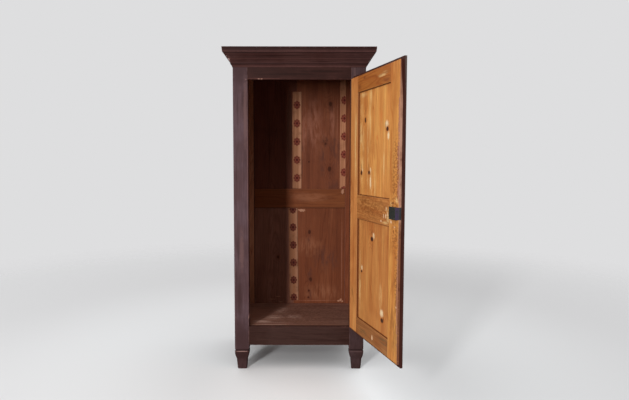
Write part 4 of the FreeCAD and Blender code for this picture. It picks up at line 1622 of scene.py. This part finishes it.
# ------------------------------------------------------------------ door
@dataclass
class Door:
    """The door's frame and panels: honey pine inside, paint outside.

    Attributes:
        place: the frame in which it is shut.
        paint: the outside.
        edge: the rubbed paint on its edges.
        pine: the inside.
        age: how the inside has aged.
        hinge_edge: X of the entering part's edge by the hinges, in millimetres.
        lip: thickness of the lip.
        entering: half width, lowest and highest Z of the part that enters the opening.
        sight: half width of the panels' openings.
    """

    place: Place
    paint: Paint = Paint(ground=rgb(62, 40, 38), faded=rgb(72, 50, 49), deep=rgb(48, 29, 28))
    edge: Edge = Edge()
    pine: Pine = Pine("door_pine", early=rgb(214, 150, 84), late=rgb(184, 114, 56),
                      glow=rgb(230, 174, 100), shade=rgb(172, 98, 46), knot=rgb(66, 38, 26),
                      ring_share=0.6, drift_share=0.6, thread_share=0.1, roughness=0.5)
    age: Age = Age(pale=rgb(240, 202, 138), smear=rgb(146, 92, 46), chip=rgb(226, 184, 146),
                   fleck=rgb(134, 76, 32), grime_and_shade=rgb(86, 38, 16), arris=rgb(214, 160, 104),
                   rub=0.25, reach=mm(3), play=0.62)
    hinge_edge: float = 289.0
    lip: float = mm(12.5)
    entering: Triple = (mm(289), mm(262), mm(1669))
    sight: float = mm(195)

    FINE = Easing(radius=mm(1.0), steps=3)
    SMEARS = {"door_panel_upper": rgb(206, 122, 58), "door_bottom_rail": rgb(96, 80, 52),
              "door_top_rail": rgb(118, 60, 30)}
    REVEAL_TONE = (0.32, 0.15, 0.05)
    # Partly painted shade: the lower panel's darker tone also stands in for the light falling off
    # lower on the door.
    TONES = {
        "door_hinge_stile": (1.04, 0.93, 0.94), "door_lock_stile": (1.08, 1.05, 0.9),
        "door_panel_upper": (1.1, 1.05, 0.96), "door_panel_lower": (0.92, 0.84, 0.82),
        "door_top_rail": (0.62, 0.45, 0.3), "door_mid_rail": (0.79, 0.7, 0.68),
        "door_bottom_rail": (0.58, 0.53, 0.6),
    }

    def spots(self, *rows: Row) -> Marks:
        """Marks on the inner face: rows as on_wall's, with x from the edge by the hinges."""
        return on_wall(*((self.hinge_edge - x, *rest) for x, *rest in rows))

    def benches(self) -> dict[str, Bench]:
        """Knots and marks of each piece.

        Returns:
            What each node gets.
        """
        spots = self.spots
        foot = band(262, 5)
        return {
            "door_panel_upper": Bench(
                knots=spots((180, 1428, 10, 16), (439, 1367, 14, 12), (133, 1151, 12, 13),
                            (231, 1154, 13, 13)),
                pale=spots((246, 1540, 16, 50), (239, 1430, 11, 140), (257, 1092, 10, 74),
                           (303, 1080, 8, 84), (136, 1300, 26, 210), (150, 1562, 46, 14),
                           (404, 1200, 8, 150), (212, 1250, 10, 190)),
                halos=spots((431, 1389, 19, 19), (450, 1336, 11, 22), (248, 1166, 8, 16),
                            (250, 1106, 9, 36), (147, 1164, 7, 12)),
                dark=spots((184, 1476, 3, 26), (131, 1184, 3, 20), (227, 1186, 3, 20),
                           (420, 1390, 2.6, 24)),
                smears=spots((372, 1420, 26, 44), (330, 1330, 40, 16))),
            "door_panel_lower": Bench(
                knots=spots((276, 812, 18, 14), (146, 619, 10, 8), (405, 421, 18, 14)),
                pale=spots((383, 535, 16, 62), (126, 560, 12, 160)),
                halos=spots((295, 828, 13, 20), (150, 636, 9, 18), (399, 455, 19, 22)),
                dark=spots((281, 766, 2.4, 44), (276, 848, 3, 18), (420, 430, 3, 14))),
            "door_top_rail": Bench(pale=spots((398, 1628, 60, 8), (424, 1640, 30, 5)),
                                   smears=spots((120, 1612, 24, 20), (440, 1600, 40, 12),
                                                (180, 1650, 16, 10))),
            "door_mid_rail": Bench(
                chips=spots((452, 984, 5, 10), (447, 948, 6, 12), (424, 946, 4, 12),
                            (397, 919, 8, 6), (468, 960, 4, 12)),
                pale=spots((472, 950, 16, 44), (452, 915, 40, 8)),
                smears=spots((398, 1000, 26, 28), (300, 922, 60, 10), (180, 1004, 60, 10),
                             (250, 960, 50, 12)),
                flecked=spots((424, 960, 60, 44), (250, 975, 160, 60))),
            "door_bottom_rail": Bench(chips=spots((307, 302, 9, 13)), dark=(foot,),
                                      smears=spots((438, 326, 50, 18), (180, 296, 60, 14))),
            "door_lock_stile": Bench(
                chips=spots((567, 532, 6, 5), (506, 926, 9, 8), (493, 940, 4, 10),
                            (540, 905, 5, 5)),
                dark=(*spots((523, 1017, 10, 6), (549, 1175, 3, 4), (560, 1140, 2.5, 4)), foot),
                smears=spots((548, 470, 44, 200)),
                pale=spots((562, 1032, 20, 16), (505, 1010, 10, 14)),
                flecked=spots((548, 1140, 40, 180), (542, 860, 36, 80), (562, 700, 16, 180),
                              (508, 1000, 22, 30)),
                rubs=spots((574, 1400, 9, 130), (571, 1220, 11, 110), (573, 1080, 10, 60),
                           (576, 600, 8, 260))),
            "door_hinge_stile": Bench(smears=spots((36, 470, 22, 50), (60, 420, 16, 34)),
                                      dark=(foot,), pale=spots((70, 1300, 14, 240))),
        }

    def build(self) -> None:
        """Work the frame and the panels."""
        outside, inside = (corner.y for corner in self.place.box("door_hinge_stile"))
        sights = {}
        for name, below, above in (("upper", "mid", "top"), ("lower", "bottom", "mid")):
            sights[f"door_panel_{name}"] = Sight(
                self.sight, self.place.box(f"door_{below}_rail")[1].z,
                self.place.box(f"door_{above}_rail")[0].z)
        field = sum(corner.y for corner in self.place.box("door_panel_upper")) / 2
        benches = self.benches()
        for node, tone in self.TONES.items():
            grain = Grain.ACROSS if node.endswith("rail") else Grain.UPRIGHT
            board = Board(node, grain, self.place)
            paint = self.paint.coat(board)
            age = replace(self.age, smear=self.SMEARS.get(node, self.age.smear))
            wood = bare_wood(replace(self.pine, tone=tone), board, benches[node], age,
                             sights.get(node))
            if node in sights:
                skin = Skin((paint, None), (wood, BACKWARD))
            else:
                dark = replace(self.pine, name="reveal_pine", tone=self.REVEAL_TONE)
                finishes = (paint, wood, self.edge.coat(board, inside, outside),
                            bare_wood(dark, board))
                skin = DoorSkin(finishes, outside + self.lip, self.entering, field)
            work_node(node, "door", "door_pine", skin, self.FINE, self.place,
                      ((0.0, field, 0.0), BACKWARD))


# ------------------------------------------------------------------ ironwork
@dataclass
class Ironwork:
    """Hinges, lock, keeper and their nails and screws.

    Attributes:
        place: the frame in which the door is shut.
        black: leaves and plates.
        cover: the lock's case.
        heat: the case's end, blued by heat.
        selvedge: the plate that the lock is built on.
        steel: pins, bolt, spring and fastenings.
    """

    place: Place
    black: Iron = Iron("black_iron")
    cover: Iron = Iron("lock_cover_iron", skin=rgb(42, 46, 40), rust=rgb(52, 44, 36),
                       bright=rgb(92, 90, 88), metal=0.35, roughness=0.5)
    heat: Iron = Iron("lock_end_iron", skin=rgb(64, 50, 76), rust=rgb(54, 42, 48),
                      bright=rgb(104, 92, 106), metal=0.35, roughness=0.5)
    selvedge: Iron = Iron("lock_plate_iron", skin=rgb(62, 60, 64), rust=rgb(56, 44, 40),
                          metal=0.5, roughness=0.5)
    steel: Iron = Iron("dull_steel", skin=rgb(120, 116, 112), rust=rgb(84, 62, 50),
                       bright=rgb(170, 168, 166), roughness=0.4, metal=0.95)

    SLOT = "dark_iron"
    FINE = Easing(radius=mm(0.7), steps=2, shortest=mm(6), flat_area=2e-4)

    def build(self) -> None:
        """Dress the ironwork."""
        black, steel = self.black.forge(), self.steel.forge()
        cover, heat, selvedge = (iron.forge(self.place)
                                 for iron in (self.cover, self.heat, self.selvedge))
        for level in ("upper", "lower"):
            self.work(f"hinge_{level}_post_leaf", black, "carcass")
            self.work(f"hinge_{level}_door_leaf", black)
            dress_node(f"hinge_{level}_pin", steel)
        work_node("lock_case", "door", self.SLOT, Skin((cover, None), (heat, LEFTWARD)),
                  self.FINE, self.place)
        self.work("lock_plate", selvedge)
        self.work("escutcheon", black)
        dress_node("keeper", black)
        for node in ("hinge_post_nails", "hinge_door_nails", "lock_spring", "lock_screws",
                     "keeper_screws"):
            dress_node(node, steel)
        dress_node("lock_bolt", selvedge)

    def work(self, node: str, material: Material, body: str = "door") -> None:
        """Work one piece of iron."""
        work_node(node, body, self.SLOT, Skin((material, None)), self.FINE)


# ------------------------------------------------------------------ studio
@dataclass
class Studio:
    """Floor, light and camera.

    Attributes:
        grey: the backdrop's colour.
        key_share: light that the key lamp gives a surface that faces it.
        base_sky: strength of the soft light from everywhere.
        up_sky: what is added to it overhead.
        back_sky: what is added to it behind.
    """

    grey: Colour = rgb(222, 222, 223)
    key_share: float = 0.88
    base_sky: float = 0.05
    up_sky: float = 1.0
    back_sky: float = 0.35

    KEY_TURN = math.radians(25.8)
    KEY_DISTANCE = 9.0
    KEY_HEIGHT = 2.6
    KEY_SIZE = (1.0, 4.4)
    AIM = Vector((0.0, -0.25, 1.0))
    UP_SPAN = (0.2, 0.9)
    BACK_SPAN = (-0.2, 0.5)
    FLOOR_SIZE = 14.0
    FLOOR_FADE = (2.2, 5.0)
    # For the eye the floor is drawn lighter near the cupboard and lightest in front of it:
    # painted light that makes up for the cupboard's shade there.
    FLOOR_FAR = rgb(212, 212, 213)
    FLOOR_NEAR_PAINTED_LIGHT = rgb(224, 225, 226)
    FLOOR_FRONT = rgb(253, 254, 255)
    NEAR_SPAN = (2.4, 1.0)
    FRONT_SPAN = (1.25, 0.2)
    FRONT_MIDDLE = (0.15, -0.4, 0.0)
    FRONT_SHAPE = (1.6, 1.0, 1.0)
    FRONT_START = (-0.05, -0.3)
    FLOOR_BOUNCE = rgb(150, 150, 150)

    IMAGE_WIDTH = 629
    IMAGE_HEIGHT = 400
    FOCAL_PIXELS = 514.678
    OPTICAL_CENTRE = (303.708, 199.827)
    SENSOR = 36.0
    EYE = Vector((0.02407, -3.20906, 1.20133))
    PITCH = -4.0522
    YAW = -0.0276
    ROLL = 0.0765

    def build(self) -> None:
        """Make the stage and set the view."""
        self.camera()
        self.floor()
        self.key_lamp()
        self.sky()
        bpy.context.scene.view_settings.view_transform = "Standard"

    def key_lamp(self) -> None:
        """A tall soft box to the left, in front; it shines as a share of what lights white."""
        ahead = Vector((-math.sin(self.KEY_TURN), -math.cos(self.KEY_TURN), 0.0))
        place = self.AIM + ahead * self.KEY_DISTANCE
        place.z = self.KEY_HEIGHT
        to_aim = self.AIM - place
        data = bpy.data.lights.new("key_lamp", "AREA")
        data.shape = "RECTANGLE"
        data.size, data.size_y = self.KEY_SIZE
        data.energy = self.key_share * (math.pi * to_aim.length) ** 2
        light = bpy.data.objects.new("key_lamp", data)
        light.location = place
        light.visible_camera = False
        light.rotation_euler = to_aim.to_track_quat("-Z", "Y").to_euler()
        bpy.context.scene.collection.objects.link(light)

    def sky(self) -> None:
        """Backdrop grey for the eye and for gloss; soft light, brighter overhead and behind."""
        world = bpy.data.worlds.new("studio_sky")
        bpy.context.scene.world = world
        world.use_nodes = True
        nodes = Nodes(world.node_tree)
        _, y, z = nodes.split(nodes.node("ShaderNodeTexCoord", {}, "Generated"))
        soft = nodes.plus(nodes.span(z, *self.UP_SPAN, 0.0, self.up_sky), self.base_sky)
        soft = nodes.plus(nodes.span(y, *self.BACK_SPAN, 0.0, self.back_sky), soft)
        camera, glossy, clear = (nodes.node("ShaderNodeLightPath", {}, f"Is {kind} Ray")
                                 for kind in ("Camera", "Glossy", "Transmission"))
        seen = nodes.math("MAXIMUM", nodes.math("MAXIMUM", camera, glossy), clear)
        background = world.node_tree.nodes["Background"].inputs
        nodes.feed(nodes.mix(seen, soft, self.grey), background["Color"])
        background["Strength"].default_value = 1.0

    def floor(self) -> None:
        """A pale floor that fades into the backdrop; for the eye it is drawn lighter near the
        cupboard and in front of it, painted light against the cupboard's shade.
        """
        form = bmesh.new()
        bmesh.ops.create_grid(form, x_segments=1, y_segments=1, size=self.FLOOR_SIZE / 2)
        graph = Graph("studio_floor")
        away = graph.length(graph.seen)
        seen = graph.mix(graph.span(away, *self.NEAR_SPAN), self.FLOOR_FAR, self.FLOOR_NEAR_PAINTED_LIGHT)
        _, depth, _ = graph.split(graph.seen)
        shift = graph.vector("SUBTRACT", graph.seen, self.FRONT_MIDDLE)
        shift = graph.vector("MULTIPLY", shift, self.FRONT_SHAPE)
        front = graph.times(graph.span(graph.length(shift), *self.FRONT_SPAN),
                            graph.span(depth, *self.FRONT_START))
        seen = graph.mix(front, seen, self.FLOOR_FRONT)
        rays = graph.node("ShaderNodeLightPath", {}, "Is Camera Ray")
        paint = graph.mix(rays, self.FLOOR_BOUNCE, seen)
        matt = graph.node("ShaderNodeBsdfDiffuse", {"Color": paint})
        clear = graph.node("ShaderNodeBsdfTransparent", {})
        fade = graph.span(away, *self.FLOOR_FADE)
        blend = graph.node("ShaderNodeMixShader", {0: fade, 1: matt, 2: clear})
        graph.tree.nodes.remove(graph.shader)
        graph.feed(blend, graph.tree.nodes["Material Output"].inputs["Surface"])
        make_piece("studio_floor", form, [graph.material])

    def camera(self) -> None:
        """A camera at eye height, square to the front."""
        data = bpy.data.cameras.new("camera")
        data.sensor_width = self.SENSOR
        data.lens = self.FOCAL_PIXELS / self.IMAGE_WIDTH * self.SENSOR
        data.shift_x = (self.IMAGE_WIDTH / 2 - self.OPTICAL_CENTRE[0]) / self.IMAGE_WIDTH
        data.shift_y = (self.OPTICAL_CENTRE[1] - self.IMAGE_HEIGHT / 2) / self.IMAGE_WIDTH
        turn = (Matrix.Rotation(math.radians(self.YAW), 4, UP)
                @ Matrix.Rotation(math.radians(90 + self.PITCH), 4, "X")
                @ Matrix.Rotation(math.radians(self.ROLL), 4, UP))
        eye = bpy.data.objects.new("camera", data)
        eye.matrix_world = Matrix.Translation(self.EYE) @ turn
        bpy.context.scene.collection.objects.link(eye)
        bpy.context.scene.camera = eye


def main() -> None:
    """Build the classes in order."""
    logging.basicConfig(level=logging.INFO, format="%(message)s")
    shut = shut_door_place()
    Studio().build()
    Carcass().build()
    Papers().build()
    Door(shut).build()
    Ironwork(shut).build()


if __name__ == "__main__":
    main()
